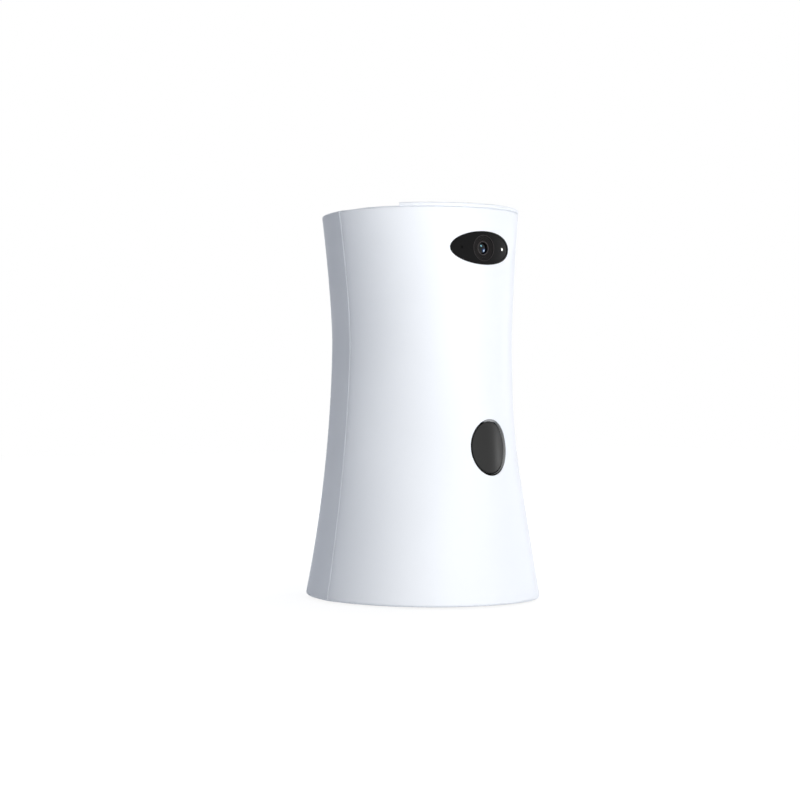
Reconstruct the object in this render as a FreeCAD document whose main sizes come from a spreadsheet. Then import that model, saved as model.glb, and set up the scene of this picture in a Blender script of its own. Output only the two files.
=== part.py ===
import FreeCAD, Part
import math
import os
import Sketcher
from FreeCAD import Placement, Rotation, Vector

# Treat tossing pet camera: a turning hourglass tower on a round base.
# The tower turns about Z on the base; -Y is the front, with the camera and the treat outlet.
# Millimetres, +Z up, origin on the floor below the middle of the base.

doc = FreeCAD.newDocument("pet_camera")
sheet = doc.addObject("Spreadsheet::Sheet", "Sizes")

DRIVING = {
    # outer form of the tower
    "shell_bottom": 1.2, "shell_top": 222.6, "shell_wall": 2.5, "seam_gap": 0.3,
    "foot_half_width": 64, "foot_front_depth": 76.6, "foot_rear_depth": 68.7,
    "waist_height": 150, "waist_half_width": 47.9, "waist_front_depth": 63.2,
    "waist_rear_depth": 56.4, "rim_half_width": 55.6, "rim_front_depth": 62.6,
    "rim_rear_depth": 58.2, "side_flare": 1.64, "front_flare": 1.5, "rear_flare": 2.55,
    "rim_flare": 1.46, "foot_fullness": 0.83, "rim_fullness": 0.74, "rear_fullness": 1,
    "rear_lean": 10, "nose_height": 95, "nose_reach": 42, "nose_bulge": 2,
    "nose_sharpness": 0.19, "rim_round": 1.1, "foot_round": 2,
    # base
    "pad_height": 1.2, "pad_seat": 0.4, "pad_inset": 3, "pad_width": 8,
    "tray_clear": 4, "tray_floor": 2.5, "tray_wall": 2.5, "tray_height": 11,
    "tray_edge": 1, "post_margin": 0.8,
    "tray_post_radius": 14, "tray_post_height": 5,
    "ballast_outer": 35, "ballast_inner": 17, "ballast_height": 4, "ballast_gap_width": 27,
    "thrust_outer": 42, "thrust_inner": 37, "thrust_height": 1.6, "thrust_gap": 0.2,
    "socket_width": 9, "socket_height": 3.3, "socket_depth": 7.4,
    "socket_skin": 0.5, "tongue_sheet": 0.7,
    "lead_bay_width": 16, "lead_bay_height": 8, "lead_bay_wall": 1.6, "lead_bay_start": 31,
    "board_sheet": 1.6, "power_board_width": 24, "power_board_depth": 12.5,
    "socket_fit": 0.1,
    # pan drive
    "spindle_radius": 8, "spindle_bore": 4, "flange_height": 2, "spindle_flat": 6.8,
    "running_fit": 0.05, "bush_wall": 2.5, "bush_flange": 2.5, "bush_flange_height": 1.4,
    "plate_inset": 1, "plate_height": 3.5, "gear_gap": 0.4,
    "pan_module": 1, "pan_teeth": 48, "pan_pinion_teeth": 16, "pan_face": 5,
    "clip_height": 1, "clip_width": 3, "clip_seat": 0.8, "clip_gap": 0.1, "spindle_end": 1,
    "pinion_hub": 3.5, "plate_hole": 12, "gear_window": 3.5,
    "backlash": 0.2,
    # geared motors
    "motor_radius": 14, "motor_height": 19, "motor_offset": 8, "motor_boss": 4.5,
    "motor_boss_height": 1.5, "motor_shaft": 2.5, "motor_ear_span": 35, "motor_ear_width": 7,
    "motor_ear_height": 0.8, "bracket_sheet": 1.5, "bracket_gap": 1.6, "bracket_depth": 26,
    "motor_fit": 0.2, "motor_bore_depth": 4,
    # frame inside the tower
    "pillar_radius": 3, "pillar_shift": 1.5, "pillar_depth": 16, "deck_level": 48,
    "deck_radius": 50, "deck_height": 2.5, "frame_sheet": 2.5, "frame_left": 21.5,
    "frame_right": 29.5, "frame_front": 42, "frame_rear": 37, "frame_rib": 6,
    "board_rise": 3, "board_overhang": 2, "main_board_height": 58, "chip_unit": 1,
    "hopper_level": 141, "hopper_deck_radius": 44, "hopper_deck_height": 3,
    # treat hopper, wheel and chute
    "hopper_bore": 36.3, "hopper_wall": 2, "hopper_flange": 5, "flange_sheet": 2.4,
    "wheel_gap": 0.8, "wheel_height": 13.5, "wheel_lift": 0.4, "pocket_radius": 8.5,
    "pocket_circle": 26, "pocket_count": 6, "drop_margin": 1,
    "hood_sheet": 1.6, "hood_gap": 0.6, "hood_edge": 15.5,
    "stirrer_span": 26, "stirrer_height": 6.5, "stirrer_sheet": 2, "stirrer_hub": 9,
    "stirrer_gap": 1.4, "stirrer_count": 3, "bottom_flange": 4.7,
    "chute_width": 20, "chute_depth": 19, "chute_wall": 1.5, "chute_end": 104,
    # launcher
    "tray_level": 74, "launch_width": 21, "launch_wall": 1.5, "launch_sheet": 2,
    "launch_side_height": 24, "launch_gap": 1.2, "launch_rear": 8, "launch_tab_front": 41,
    "launch_tab_rear": 24,
    "pivot_setback": 10, "pivot_level": 106, "pivot_pin": 1.5, "arm_length": 24.5,
    "arm_hub": 4, "arm_width": 8, "arm_sheet": 4.5, "head_width": 18, "head_height": 9,
    "head_step": 1,
    "tail_length": 12, "tail_width": 3.2, "eye_wall": 1,
    "roller_radius": 3, "roller_pin": 1.2,
    "cam_setback": 2, "cam_level": 95, "cam_width": 5.2, "cam_swing": 300,
    "arm_swing": 40, "cam_clearance": 0.15, "axle_radius": 2.5,
    "cam_module": 0.8, "cam_teeth": 48, "launch_teeth": 12, "cam_face": 5,
    "cam_window": 3.2, "cam_window_reach": 11.5,
    "launch_motor_radius": 10, "launch_motor_length": 24, "launch_shaft": 1.5,
    "launch_cap": 2, "launch_cap_radius": 4, "saddle_margin": 1,
    "saddle_shift": 4, "saddle_reach": 14, "saddle_post": 2.5, "ear_half": 4.6, "ear_gap": 0.3,
    "saddle_front": 5.5, "saddle_rear": 9, "flicker_wire": 0.6,
    "coil_gap": 0.1,
    # treat outlet
    "outlet_level": 88.6, "outlet_half_width": 12.5, "outlet_half_height": 15.8,
    "outlet_tilt": 4, "outlet_collar": 2, "collar_depth": 7, "rebate_width": 1.2,
    "rebate_depth": 1.6, "bezel_fit": 0.05, "bezel_recess": 0.4, "bezel_lip": 0.5,
    "bezel_seat": 2.4, "bezel_wall": 0.05, "bezel_gap": 0.1, "bezel_sheet": 2,
    "step_reach": 2.2, "step_sheet": 1.4, "step_top": 3,
    "flap_recess": 0.9, "flap_sheet": 1.8, "flap_inset": 1, "flap_bevel": 0.8,
    "hinge_depth": 5.5, "hinge_rise": 7.5, "hinge_room": 2.6, "hinge_reach": 11,
    "flap_pin": 0.8, "pin_reach": 11.8,
    "flap_knuckle": 1.7, "knuckle_start": 6.5, "knuckle_end": 8.7, "knuckle_web": 1.2,
    "knuckle_root": 2.4, "flap_spring_reach": 2.2, "flap_wire": 0.3,
    # camera
    "camera_drop": 22.5, "window_half_width": 20.9, "window_half_height": 9.4,
    "window_recess": 0.4, "window_sheet": 2, "gasket_width": 0.8, "lens_ring_radius": 7.4,
    "lens_radius": 5.1, "lens_length": 11.5, "ring_recess": 0.9,
    "lens_wall": 1.75, "lens_flange": 1.5, "lens_lip": 0.6, "ring_depth": 4, "ring_bevel": 1.4,
    "ring_edge": 0.4, "barrel_reach": 1.6, "sensor_chamber": 3, "gasket_proud": 0.3,
    "camera_board_width": 36, "camera_board_height": 20, "camera_board_sheet": 1.2,
    "sensor_room": 4.4, "sensor_half": 3, "sensor_sheet": 1.2, "infrared_radius": 1.5,
    "infrared_length": 3, "infrared_reach": 10.5, "lens_dome": 1, "lens_setback": 0.3,
    "lens_sheet": 2, "bracket_side_gap": 0.8, "bracket_arm": 2.4,
    "window_dot_radius": 0.8, "window_dot_reach": 14.6,
    # speaker
    "speaker_rise": 35, "speaker_radius": 18, "speaker_depth": 7, "speaker_pitch": 4.2,
    "speaker_slot": 1.8, "speaker_edge": 2.5, "cap_radius": 4, "speaker_gap": 0.1,
    "magnet_radius": 9, "magnet_depth": 3.2, "speaker_sheet": 1, "cone_sheet": 0.6, "cap_rise": 1.2,
    # lid
    "lid_sheet": 2.4, "lid_radius": 40, "lid_lip_angle": 46.8, "lid_round": 1, "mouth_radius": 38.5,
    "plug_depth": 8, "plug_wall": 2.5, "seal_width": 1.2, "seal_height": 2, "lid_gap": 0.3,
    # fasteners
    "screw_radius": 1.5, "screw_head": 2.8, "screw_head_height": 1.6, "screw_length": 8,
    "screw_fit": 0.1,
    "small_screw_radius": 1, "small_screw_head": 2, "small_screw_head_height": 1.2,
    "small_screw_length": 4.5, "board_post_radius": 2.2,
    "boss_radius": 4, "boss_height": 13, "boss_inset": 5,
}
for row, (alias, number) in enumerate(DRIVING.items(), start=1):
    sheet.set(f"A{row}", alias)
    sheet.set(f"B{row}", str(number))
    sheet.setAlias(f"B{row}", alias)
doc.recompute()


class Size:
    """A length worked out from the sheet: its expression and its present value."""

    def __init__(self, text, value):
        self.text = text
        self.value = value

    def _join(self, other, sign, value):
        return Size(f"({self.text} {sign} {as_size(other).text})", value)

    def __add__(self, other):
        return self._join(other, "+", self.value + as_size(other).value)

    def __sub__(self, other):
        return self._join(other, "-", self.value - as_size(other).value)

    def __mul__(self, other):
        return self._join(other, "*", self.value * as_size(other).value)

    def __truediv__(self, other):
        return self._join(other, "/", self.value / as_size(other).value)

    def __radd__(self, other):
        return as_size(other) + self

    def __rsub__(self, other):
        return as_size(other) - self

    def __rmul__(self, other):
        return as_size(other) * self

    def __neg__(self):
        return Size(f"(0 - {self.text})", -self.value)


def as_size(entry):
    return entry if isinstance(entry, Size) else Size(repr(entry), entry)


def size(alias):
    return Size(f"Sizes.{alias}", float(getattr(sheet, alias)))


class Sizes:
    """Gives each cell of the sheet by its alias."""

    def __getattr__(self, alias):
        return size(alias)


s = Sizes()
nodes = {}
BIG = 400
OVER = 1
AHEAD = 10
THROUGH = 50
AXIS_TURN = {"Z": Rotation(), "X": Rotation(Vector(1, 1, 1), 120), "Y": Rotation(Vector(1, 0, 0), -90)}


def bind(obj, prop, entry):
    entry = as_size(entry)
    if "Sizes." in entry.text:
        obj.setExpression(prop, entry.text)
    else:
        setattr(obj, prop, entry.value)


def place(obj, spot, turn=Rotation()):
    """Puts an object at a spot whose coordinates follow the sheet."""
    spot = [as_size(part) for part in spot]
    obj.Placement = Placement(Vector(*[part.value for part in spot]), turn)
    for letter, part in zip("xyz", spot):
        if "Sizes." in part.text:
            obj.setExpression(f".Placement.Base.{letter}", part.text)
    return obj


def node(name, obj):
    obj.Label = name
    nodes[name] = obj
    return obj


def rod(radius, length, spot=(0, 0, 0), axis="Z"):
    """A round rod from a spot, along one axis."""
    obj = doc.addObject("Part::Cylinder", "Rod")
    bind(obj, "Radius", radius)
    bind(obj, "Height", length)
    return place(obj, spot, AXIS_TURN[axis])


def block(x, y, z):
    """A box between the given pairs of limits."""
    obj = doc.addObject("Part::Box", "Block")
    for prop, (low, high) in zip(("Length", "Width", "Height"), (x, y, z)):
        bind(obj, prop, as_size(high) - as_size(low))
    return place(obj, (x[0], y[0], z[0]))


def both(half):
    return (-as_size(half), as_size(half))


def fuse(*parts):
    obj = doc.addObject("Part::MultiFuse", "Fuse")
    obj.Shapes = list(parts)
    return obj


def cut(base, *tools):
    obj = doc.addObject("Part::Cut", "Cut")
    obj.Base = base
    obj.Tool = tools[0] if len(tools) == 1 else fuse(*tools)
    return obj


def common(*parts):
    obj = doc.addObject("Part::MultiCommon", "Common")
    obj.Shapes = list(parts)
    return obj


def group(*parts):
    """Separate solids that share one node."""
    obj = doc.addObject("Part::Compound", "Group")
    obj.Links = list(parts)
    return obj


def given(shape):
    """A shape made by Part's own functions from the sheet's values."""
    obj = doc.addObject("Part::Feature", "Form")
    obj.Shape = shape
    return obj


def drill(radius, limits, at, axis="Z"):
    """A round cutting tool that runs a little past both limits along its axis."""
    low = limits[0] - OVER
    spot = (low, *at) if axis == "X" else (*at, low)
    return rod(radius, limits[1] - low + OVER, spot, axis)


def ring(outer, inner, height, spot=(0, 0, 0), axis="Z"):
    return cut(rod(outer, height, spot, axis), rod(inner, height, spot, axis))


def new_body():
    body = doc.addObject("PartDesign::Body", "Body")
    doc.recompute()
    return body


def sketch_on(body, plane):
    planes = {feature.Role: feature for feature in body.Origin.OriginFeatures}
    sketch = body.newObject("Sketcher::SketchObject", "Sketch")
    sketch.AttachmentSupport = [(planes[plane], "")]
    sketch.MapMode = "FlatFace"
    return sketch


def polygon(sketch, corners):
    """A closed outline whose corners are tied to the sheet."""
    corners = [(as_size(u), as_size(v)) for u, v in corners]
    first = sketch.GeometryCount
    count = len(corners)
    for i in range(count):
        start = Vector(corners[i][0].value, corners[i][1].value, 0)
        end = Vector(corners[(i + 1) % count][0].value, corners[(i + 1) % count][1].value, 0)
        sketch.addGeometry(Part.LineSegment(start, end), False)
    for i in range(count):
        edge = first + i
        following = first + (i + 1) % count
        sketch.addConstraint(Sketcher.Constraint("Coincident", edge, 2, following, 1))
        tie(sketch, edge, 1, corners[i])


def tie(sketch, edge, point, corner):
    """Holds one point of a sketch at a corner given in the sheet's terms."""
    for kind, axis_edge, part in (("DistanceX", -2, corner[0]), ("DistanceY", -1, corner[1])):
        if part.value == 0:
            sketch.addConstraint(Sketcher.Constraint("PointOnObject", edge, point, axis_edge))
        else:
            rule = sketch.addConstraint(Sketcher.Constraint(kind, -1, 1, edge, point, part.value))
            if "Sizes." in part.text:
                sketch.setExpression(f"Constraints[{rule}]", part.text)


def round_outline(sketch, radius, centre=(0, 0)):
    centre = [as_size(part) for part in centre]
    radius = as_size(radius)
    middle = Vector(centre[0].value, centre[1].value, 0)
    edge = sketch.addGeometry(Part.Circle(middle, Vector(0, 0, 1), radius.value), False)
    rule = sketch.addConstraint(Sketcher.Constraint("Radius", edge, radius.value))
    if "Sizes." in radius.text:
        sketch.setExpression(f"Constraints[{rule}]", radius.text)
    tie(sketch, edge, 3, centre)


def turned(corners, spot=(0, 0, 0), axis="Z"):
    """A turned piece: corners are (radius, distance along the axis)."""
    body = new_body()
    sketch = sketch_on(body, "XZ_Plane")
    polygon(sketch, corners)
    turn = body.newObject("PartDesign::Revolution", "Turning")
    turn.Profile = sketch
    turn.ReferenceAxis = (sketch, ["V_Axis"])
    turn.Angle = 360
    return place(body, spot, AXIS_TURN[axis])


def pad_from(body, sketch, height, kind="PartDesign::Pad"):
    feature = body.newObject(kind, "Step")
    feature.Profile = sketch
    bind(feature, "Length", height)
    return feature


def screw(spot, axis_turn=Rotation()):
    """A pan-head screw whose head rests on the spot, pointing down before it is turned."""
    head = rod(s.screw_head, s.screw_head_height)
    shank = rod(s.screw_radius, s.screw_length, (0, 0, -s.screw_length))
    return place(fuse(head, shank), spot, axis_turn)


# ---- outer form -------------------------------------------------------------------------------

def flare(waist, end, share, power):
    return waist + (end - waist) * share ** power


def nose_bump(level):
    """Share of the nose's bulge at a level: 1 at its height, fading above and below."""
    return math.exp(-((level - s.nose_height.value) / s.nose_reach.value) ** 2)


def section(level):
    """Half width, front depth and rear depth of the tower at a level."""
    waist = s.waist_height.value
    if level <= waist:
        share = (waist - level) / (waist - s.shell_bottom.value)
        ends = (s.foot_half_width, s.foot_front_depth, s.foot_rear_depth)
        powers = (s.side_flare, s.front_flare, s.rear_flare)
    else:
        share = (level - waist) / (s.shell_top.value - waist)
        ends = (s.rim_half_width, s.rim_front_depth, s.rim_rear_depth)
        powers = (s.rim_flare, s.rim_flare, s.rim_flare)
    waists = (s.waist_half_width, s.waist_front_depth, s.waist_rear_depth)
    half_width, front_depth, rear_depth = [
        flare(w.value, e.value, share, p.value) for w, e, p in zip(waists, ends, powers)]
    return half_width, front_depth + s.nose_bulge.value * nose_bump(level), rear_depth


def fullness(level, front):
    """Weight of the section's corner: 0.707 is an ellipse, less is a sharper nose."""
    if not front:
        return s.rear_fullness.value
    rise = (s.rim_fullness.value - s.foot_fullness.value) * level / s.shell_top.value
    return s.foot_fullness.value + rise - s.nose_sharpness.value * nose_bump(level)


def section_corner(level, front, inset):
    """Reach to the side, depth, and how far out the corner of the control outline stands."""
    half_width, front_depth, rear_depth = section(level)
    reach = half_width - inset
    depth = (front_depth if front else rear_depth) - inset
    return reach, depth, reach - (0 if front else s.rear_lean.value)


def half_section(level, front, inset):
    reach, depth, corner_x = section_corner(level, front, inset)
    if front:
        depth = -depth
    corner = fullness(level, front)
    poles = [Vector(reach, 0, level), Vector(corner_x, depth, level), Vector(0, depth, level),
             Vector(-corner_x, depth, level), Vector(-reach, 0, level)]
    curve = Part.BSplineCurve()
    curve.buildFromPolesMultsKnots(poles, [3, 2, 3], [0, 1, 2], False, 2, [1, corner, 1, corner, 1])
    chord = Part.LineSegment(poles[-1], poles[0])
    return Part.Wire([curve.toShape(), chord.toShape()])


def depth_at(x, level, front, inset):
    """How far the surface lies from the middle plane at a distance x to one side."""
    reach, depth, corner_x = section_corner(level, front, inset)
    corner = fullness(level, front)
    share = x / reach
    turn = corner * (share - corner_x / reach)
    along = (math.sqrt(turn ** 2 + share * (1 - share)) - turn) / share
    middle = 2 * corner * along
    return depth * (middle + along ** 2) / (1 + middle + along ** 2)


STATIONS = 9
INNER_STATIONS = 10


def half_form(front, inset, low, high, ruled=False):
    """One half of the tower's form, inset from the outside, between two levels."""
    count = INNER_STATIONS if ruled else STATIONS
    levels = [low + (high - low) * i / count for i in range(count + 1)]
    return Part.makeLoft([half_section(level, front, inset) for level in levels], True, ruled)


def rounded_end(front, start, radius, way):
    """The quarter round past a level, upwards (way 1) or downwards (way -1)."""
    sections = []
    for angle in (0, 30, 60, 90):
        turn = math.radians(angle)
        level = start + way * radius * math.sin(turn)
        sections.append(half_section(level, front, radius * (1 - math.cos(turn))))
    return Part.makeLoft(sections, True, True)


def half_body(front):
    """The outer form of one half, with a rounded foot and rim."""
    low = bottom + s.foot_round.value
    high = top - s.rim_round.value
    foot = rounded_end(front, low, s.foot_round.value, -1)
    rim = rounded_end(front, high, s.rim_round.value, 1)
    return half_form(front, 0, low, high).fuse([foot, rim]).removeSplitter()


bottom, top, wall = s.shell_bottom.value, s.shell_top.value, s.shell_wall.value


def slab(y_low, y_high):
    return Part.makeBox(BIG, y_high - y_low, BIG, Vector(-BIG / 2, y_low, -BIG / 4))


def oval_prism(half_width, half_height, length, spot=(0, 0, 0), tilt=0):
    """An upright oval bar that runs rearwards from a spot."""
    centre = Vector(0, 0, 0)
    high = Vector(0, 0, half_height)
    wide = Vector(half_width, 0, 0)
    if half_height > half_width:
        oval = Part.Ellipse(high, wide, centre)
    else:
        oval = Part.Ellipse(wide, high, centre)
    bar = Part.Face(Part.Wire(oval.toShape())).extrude(Vector(0, length, 0))
    bar.Placement = Placement(Vector(*spot), Rotation(Vector(1, 0, 0), -tilt))
    return bar


front_outer = half_body(True)
rear_outer = half_body(False)
front_inner = half_form(True, wall, bottom, top, True)
rear_inner = half_form(False, wall, bottom, top, True)

# ---- levels that several pieces share ------------------------------------------------------------

tray_bottom = s.pad_height - s.pad_seat
tray_floor_top = tray_bottom + s.tray_floor
tray_top = tray_bottom + s.tray_height
post_top = tray_floor_top + s.tray_post_height
plate_bottom = tray_top + s.thrust_height + s.thrust_gap
plate_top = plate_bottom + s.plate_height
bush_top = plate_top + s.bush_flange_height
pan_gear_bottom = bush_top + s.gear_gap
pan_gear_top = pan_gear_bottom + s.pan_face
pan_distance = s.pan_module * (s.pan_teeth + s.pan_pinion_teeth) / 2
deck_top = s.deck_level + s.deck_height
hopper_floor = s.hopper_level + s.hopper_deck_height
camera_level = s.shell_top - s.camera_drop
speaker_level = s.hopper_level + s.speaker_rise
outlet_front = -section(s.outlet_level.value)[1]
camera_front = -section(camera_level.value)[1]
speaker_rear = section(speaker_level.value)[2]

# ---- radii inside the foot --------------------------------------------------------------------------

tray_radius = s.foot_half_width - s.shell_wall - s.tray_clear
pad_outer = tray_radius - s.pad_inset
pad_inner = pad_outer - s.pad_width
plate_radius = tray_radius - s.plate_inset
boss_circle = plate_radius - s.boss_inset

# ---- shells ------------------------------------------------------------------------------------


def shell_half(outer, inner):
    """A thin wall with a flat top and a round mouth for the hopper."""
    top_wall = Part.makeBox(BIG, BIG, BIG, Vector(-BIG / 2, -BIG / 2, top - wall))
    mouth = Part.makeCylinder(s.mouth_radius.value, BIG, Vector(0, 0, BIG / 4))
    gap = slab(-s.seam_gap.value / 2, s.seam_gap.value / 2)
    return outer.cut(inner.cut(top_wall)).cut(mouth.fuse(gap))


def boss_spot(side, front):
    """Foot of a screw boss, on the boss circle."""
    reach = boss_circle.value * math.sqrt(0.5)
    return Vector(side * reach, -reach if front else reach, plate_top.value)


def shell_bosses(outer, front):
    """Screw bosses inside the foot of a shell, each tied to the wall by a rib."""
    parts = []
    for side in (-1, 1):
        spot = boss_spot(side, front)
        parts.append(Part.makeCylinder(s.boss_radius.value, s.boss_height.value, spot))
        rib = Part.makeBox(THROUGH, wall, s.boss_height.value, Vector(0, -wall / 2, 0))
        angle = math.degrees(math.atan2(spot.y, spot.x))
        rib.Placement = Placement(spot, Rotation(Vector(0, 0, 1), angle))
        parts.append(rib.common(outer))
    return parts


def boss_holes(front):
    depth = s.screw_length.value
    return [Part.makeCylinder(s.screw_radius.value, depth, boss_spot(side, front)) for side in (-1, 1)]


def outlet_spot(setback):
    """A point on the outlet's axis, a distance behind the outer surface."""
    tilt = math.radians(s.outlet_tilt.value)
    depth = outlet_front + setback * math.cos(tilt)
    return Vector(0, depth, s.outlet_level.value - setback * math.sin(tilt))


def outlet_prism(grow, length, setback):
    half_width = s.outlet_half_width.value + grow
    half_height = s.outlet_half_height.value + grow
    return oval_prism(half_width, half_height, length, outlet_spot(setback), s.outlet_tilt.value)


def outlet_bar(grow, end):
    """An oval bar on the outlet's axis, from well in front of the tower to a distance behind its front."""
    return outlet_prism(grow, end + AHEAD, -AHEAD)


def outlet_form(inset):
    """The tower's front round the outlet, inset from the outside."""
    reach = 2 * s.outlet_half_height.value
    return half_form(True, inset, s.outlet_level.value - reach, s.outlet_level.value + reach)


def make_front_shell():
    """The front half: holes for the outlet and the window, and a collar round the outlet."""
    collar = outlet_bar(s.outlet_collar.value, s.collar_depth.value).common(front_outer)
    rebate = outlet_bar(s.rebate_width.value, THROUGH).common(outlet_form(s.rebate_depth.value))
    spot = (0, camera_front - AHEAD, camera_level.value)
    window = oval_prism(s.window_half_width.value, s.window_half_height.value, THROUGH, spot)
    shell = shell_half(front_outer, front_inner).fuse([collar] + shell_bosses(front_outer, True))
    return shell.cut([outlet_bar(0, THROUGH), rebate, window] + boss_holes(True))


def speaker_slots():
    """Upright slots whose ends follow the round of the speaker."""
    slots = []
    reach = s.speaker_radius.value - s.speaker_pitch.value
    count = int(reach / s.speaker_pitch.value)
    for i in range(-count, count + 1):
        offset = i * s.speaker_pitch.value
        half = math.sqrt(reach ** 2 - offset ** 2)
        low = Vector(offset - s.speaker_slot.value / 2, speaker_rear - AHEAD, speaker_level.value - half)
        slots.append(Part.makeBox(s.speaker_slot.value, THROUGH, 2 * half, low))
    return slots


def make_rear_shell():
    shell = shell_half(rear_outer, rear_inner).fuse(shell_bosses(rear_outer, False))
    return shell.cut(speaker_slots() + boss_holes(False))


node("front_shell", given(make_front_shell()))
node("rear_shell", given(make_rear_shell()))

# ---- base: stays still on the floor ---------------------------------------------------------------


socket_bottom = tray_floor_top
board_bottom = socket_bottom + s.socket_height
socket_rear = s.lead_bay_start - s.lead_bay_wall
power_board_front = socket_rear - s.power_board_depth
post_inset = s.board_post_radius + s.post_margin
power_posts = [(x, power_board_front + post_inset) for x in both(s.power_board_width / 2 - post_inset)]


def small_screw(spot, length=None, turn=Rotation()):
    """A small pan-head screw whose head rests on the spot."""
    length = s.small_screw_length if length is None else length
    head = rod(s.small_screw_head, s.small_screw_head_height)
    shank = rod(s.small_screw_radius, length, (0, 0, -length))
    return place(fuse(head, shank), spot, turn)


def lead_bay():
    """The room behind the socket, open below and to the rear, where the lead leaves."""
    return block(both(s.lead_bay_width / 2), (s.lead_bay_start, tray_radius + OVER),
                 (-OVER, tray_bottom + s.lead_bay_height))


def make_base_tray():
    """A shallow tray with a centre post, a bearing rib and a bay for the supply lead."""
    outer = tray_radius
    inner = outer - s.tray_wall
    corners = [
        (s.spindle_bore, tray_bottom), (pad_inner, tray_bottom), (pad_inner, s.pad_height),
        (pad_outer, s.pad_height), (pad_outer, tray_bottom), (outer - s.tray_edge, tray_bottom),
        (outer, tray_bottom + s.tray_edge), (outer, tray_top), (inner, tray_top), (inner, tray_floor_top),
        (s.thrust_outer, tray_floor_top), (s.thrust_outer, tray_top), (s.thrust_inner, tray_top),
        (s.thrust_inner, tray_floor_top), (s.tray_post_radius, tray_floor_top),
        (s.tray_post_radius, post_top), (s.spindle_bore, post_top),
    ]
    turning = turned(corners)
    roof = tray_bottom + s.lead_bay_height
    housing = block(both(s.lead_bay_width / 2 + s.lead_bay_wall), (socket_rear, outer - s.tray_edge),
                    (tray_floor_top, roof + s.lead_bay_wall))
    window = block(both(s.socket_width / 2 + s.socket_fit), (socket_rear - OVER, s.lead_bay_start + OVER),
                   (socket_bottom, board_bottom + s.socket_fit))
    posts = [rod(s.board_post_radius, s.socket_height, (x, y, tray_floor_top)) for x, y in power_posts]
    depth = s.small_screw_length - OVER
    holes = [drill(s.small_screw_radius, (board_bottom - depth, board_bottom), spot) for spot in power_posts]
    holes += [drill(s.small_screw_radius, (post_top - depth, post_top), spot) for spot in spindle_screws]
    return cut(fuse(turning, housing, *posts), lead_bay(), window, *holes)


def polar(radius, degrees):
    """A point on a circle round the axis of the tower."""
    turn = math.radians(degrees)
    return (radius * math.cos(turn), radius * math.sin(turn))


flange_circle = (s.spindle_radius + s.tray_post_radius) / 2
spindle_screws = [polar(flange_circle, degrees) for degrees in (30, 150, 270)]
flange_top = post_top + s.flange_height
clip_bottom = pan_gear_top + s.clip_gap
clip_top = clip_bottom + s.clip_height
clip_radius = s.spindle_radius - s.clip_seat


def flats(low, high, reach):
    """The two side blocks that leave a pair of flats on the spindle."""
    return [block((-reach, reach), sorted_limits(side), (low, high)) for side in (-1, 1)]


def sorted_limits(side):
    far = 2 * s.spindle_radius
    return (s.spindle_flat, far) if side > 0 else (-far, -s.spindle_flat)


def make_spindle():
    radius = s.spindle_radius
    spindle_top = clip_top + s.spindle_end
    corners = [
        (s.spindle_bore, post_top), (s.tray_post_radius, post_top), (s.tray_post_radius, flange_top),
        (radius, flange_top), (radius, clip_bottom), (clip_radius, clip_bottom), (clip_radius, clip_top),
        (radius, clip_top), (radius, spindle_top), (s.spindle_bore, spindle_top),
    ]
    turning = turned(corners)
    holes = [drill(s.small_screw_radius, (post_top, flange_top), spot) for spot in spindle_screws]
    return cut(turning, *flats(pan_gear_bottom, spindle_top + OVER, 2 * radius), *holes)


# ---- gears -------------------------------------------------------------------------------------

PRESSURE = math.radians(20)
ADDENDUM = 0.8
DEDENDUM = 1.2
FLANK_STEPS = 3


def gear_outline(teeth, module, first_tooth):
    """Involute teeth as a closed outline; the first tooth points along first_tooth degrees."""
    teeth = int(round(teeth.value))
    module = module.value
    pitch = module * teeth / 2
    base = pitch * math.cos(PRESSURE)
    tip = pitch + ADDENDUM * module
    root = pitch - DEDENDUM * module
    start = max(base, root)
    rolled = math.tan(PRESSURE) - PRESSURE
    half_tooth = math.pi / (2 * teeth) - s.backlash.value / (4 * pitch)

    def half_angle(radius):
        slope = math.acos(min(1, base / radius))
        return half_tooth + rolled - (math.tan(slope) - slope)

    flank = [(root, half_angle(start))]
    flank += [(start + (tip - start) * i / FLANK_STEPS, half_angle(start + (tip - start) * i / FLANK_STEPS))
              for i in range(FLANK_STEPS + 1)]
    if base <= root:
        flank = flank[1:]
    corners = []
    for tooth in range(teeth):
        middle = math.radians(first_tooth) + 2 * math.pi * tooth / teeth
        rising = [(radius, middle - angle) for radius, angle in flank]
        falling = [(radius, middle + angle) for radius, angle in reversed(flank)]
        corners += [Vector(r * math.cos(a), r * math.sin(a), 0) for r, a in rising + falling]
    return corners


def spur_gear(teeth, module, face, first_tooth, spot, axis="Z"):
    corners = gear_outline(teeth, module, first_tooth)
    outline = Part.makePolygon(corners + corners[:1])
    gear = given(Part.Face(outline).extrude(Vector(0, 0, face.value)))
    return place(gear, spot, AXIS_TURN[axis])


def gap_towards(teeth, degrees):
    """First-tooth angle that turns a gap between teeth towards a direction."""
    return degrees + 180 / teeth.value


node("base_tray", make_base_tray())
node("foot_pad", cut(ring(pad_outer, pad_inner, s.pad_height), lead_bay()))
ballast_room = block(both(s.ballast_gap_width / 2), (0, s.ballast_outer + OVER),
                     (tray_floor_top - OVER, tray_floor_top + s.ballast_height + OVER))
node("ballast_plate", cut(ring(s.ballast_outer, s.ballast_inner, s.ballast_height, (0, 0, tray_floor_top)),
                          ballast_room))
node("thrust_ring", ring(s.thrust_outer, s.thrust_inner, s.thrust_height, (0, 0, tray_top)))
node("centre_spindle", make_spindle())

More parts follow.
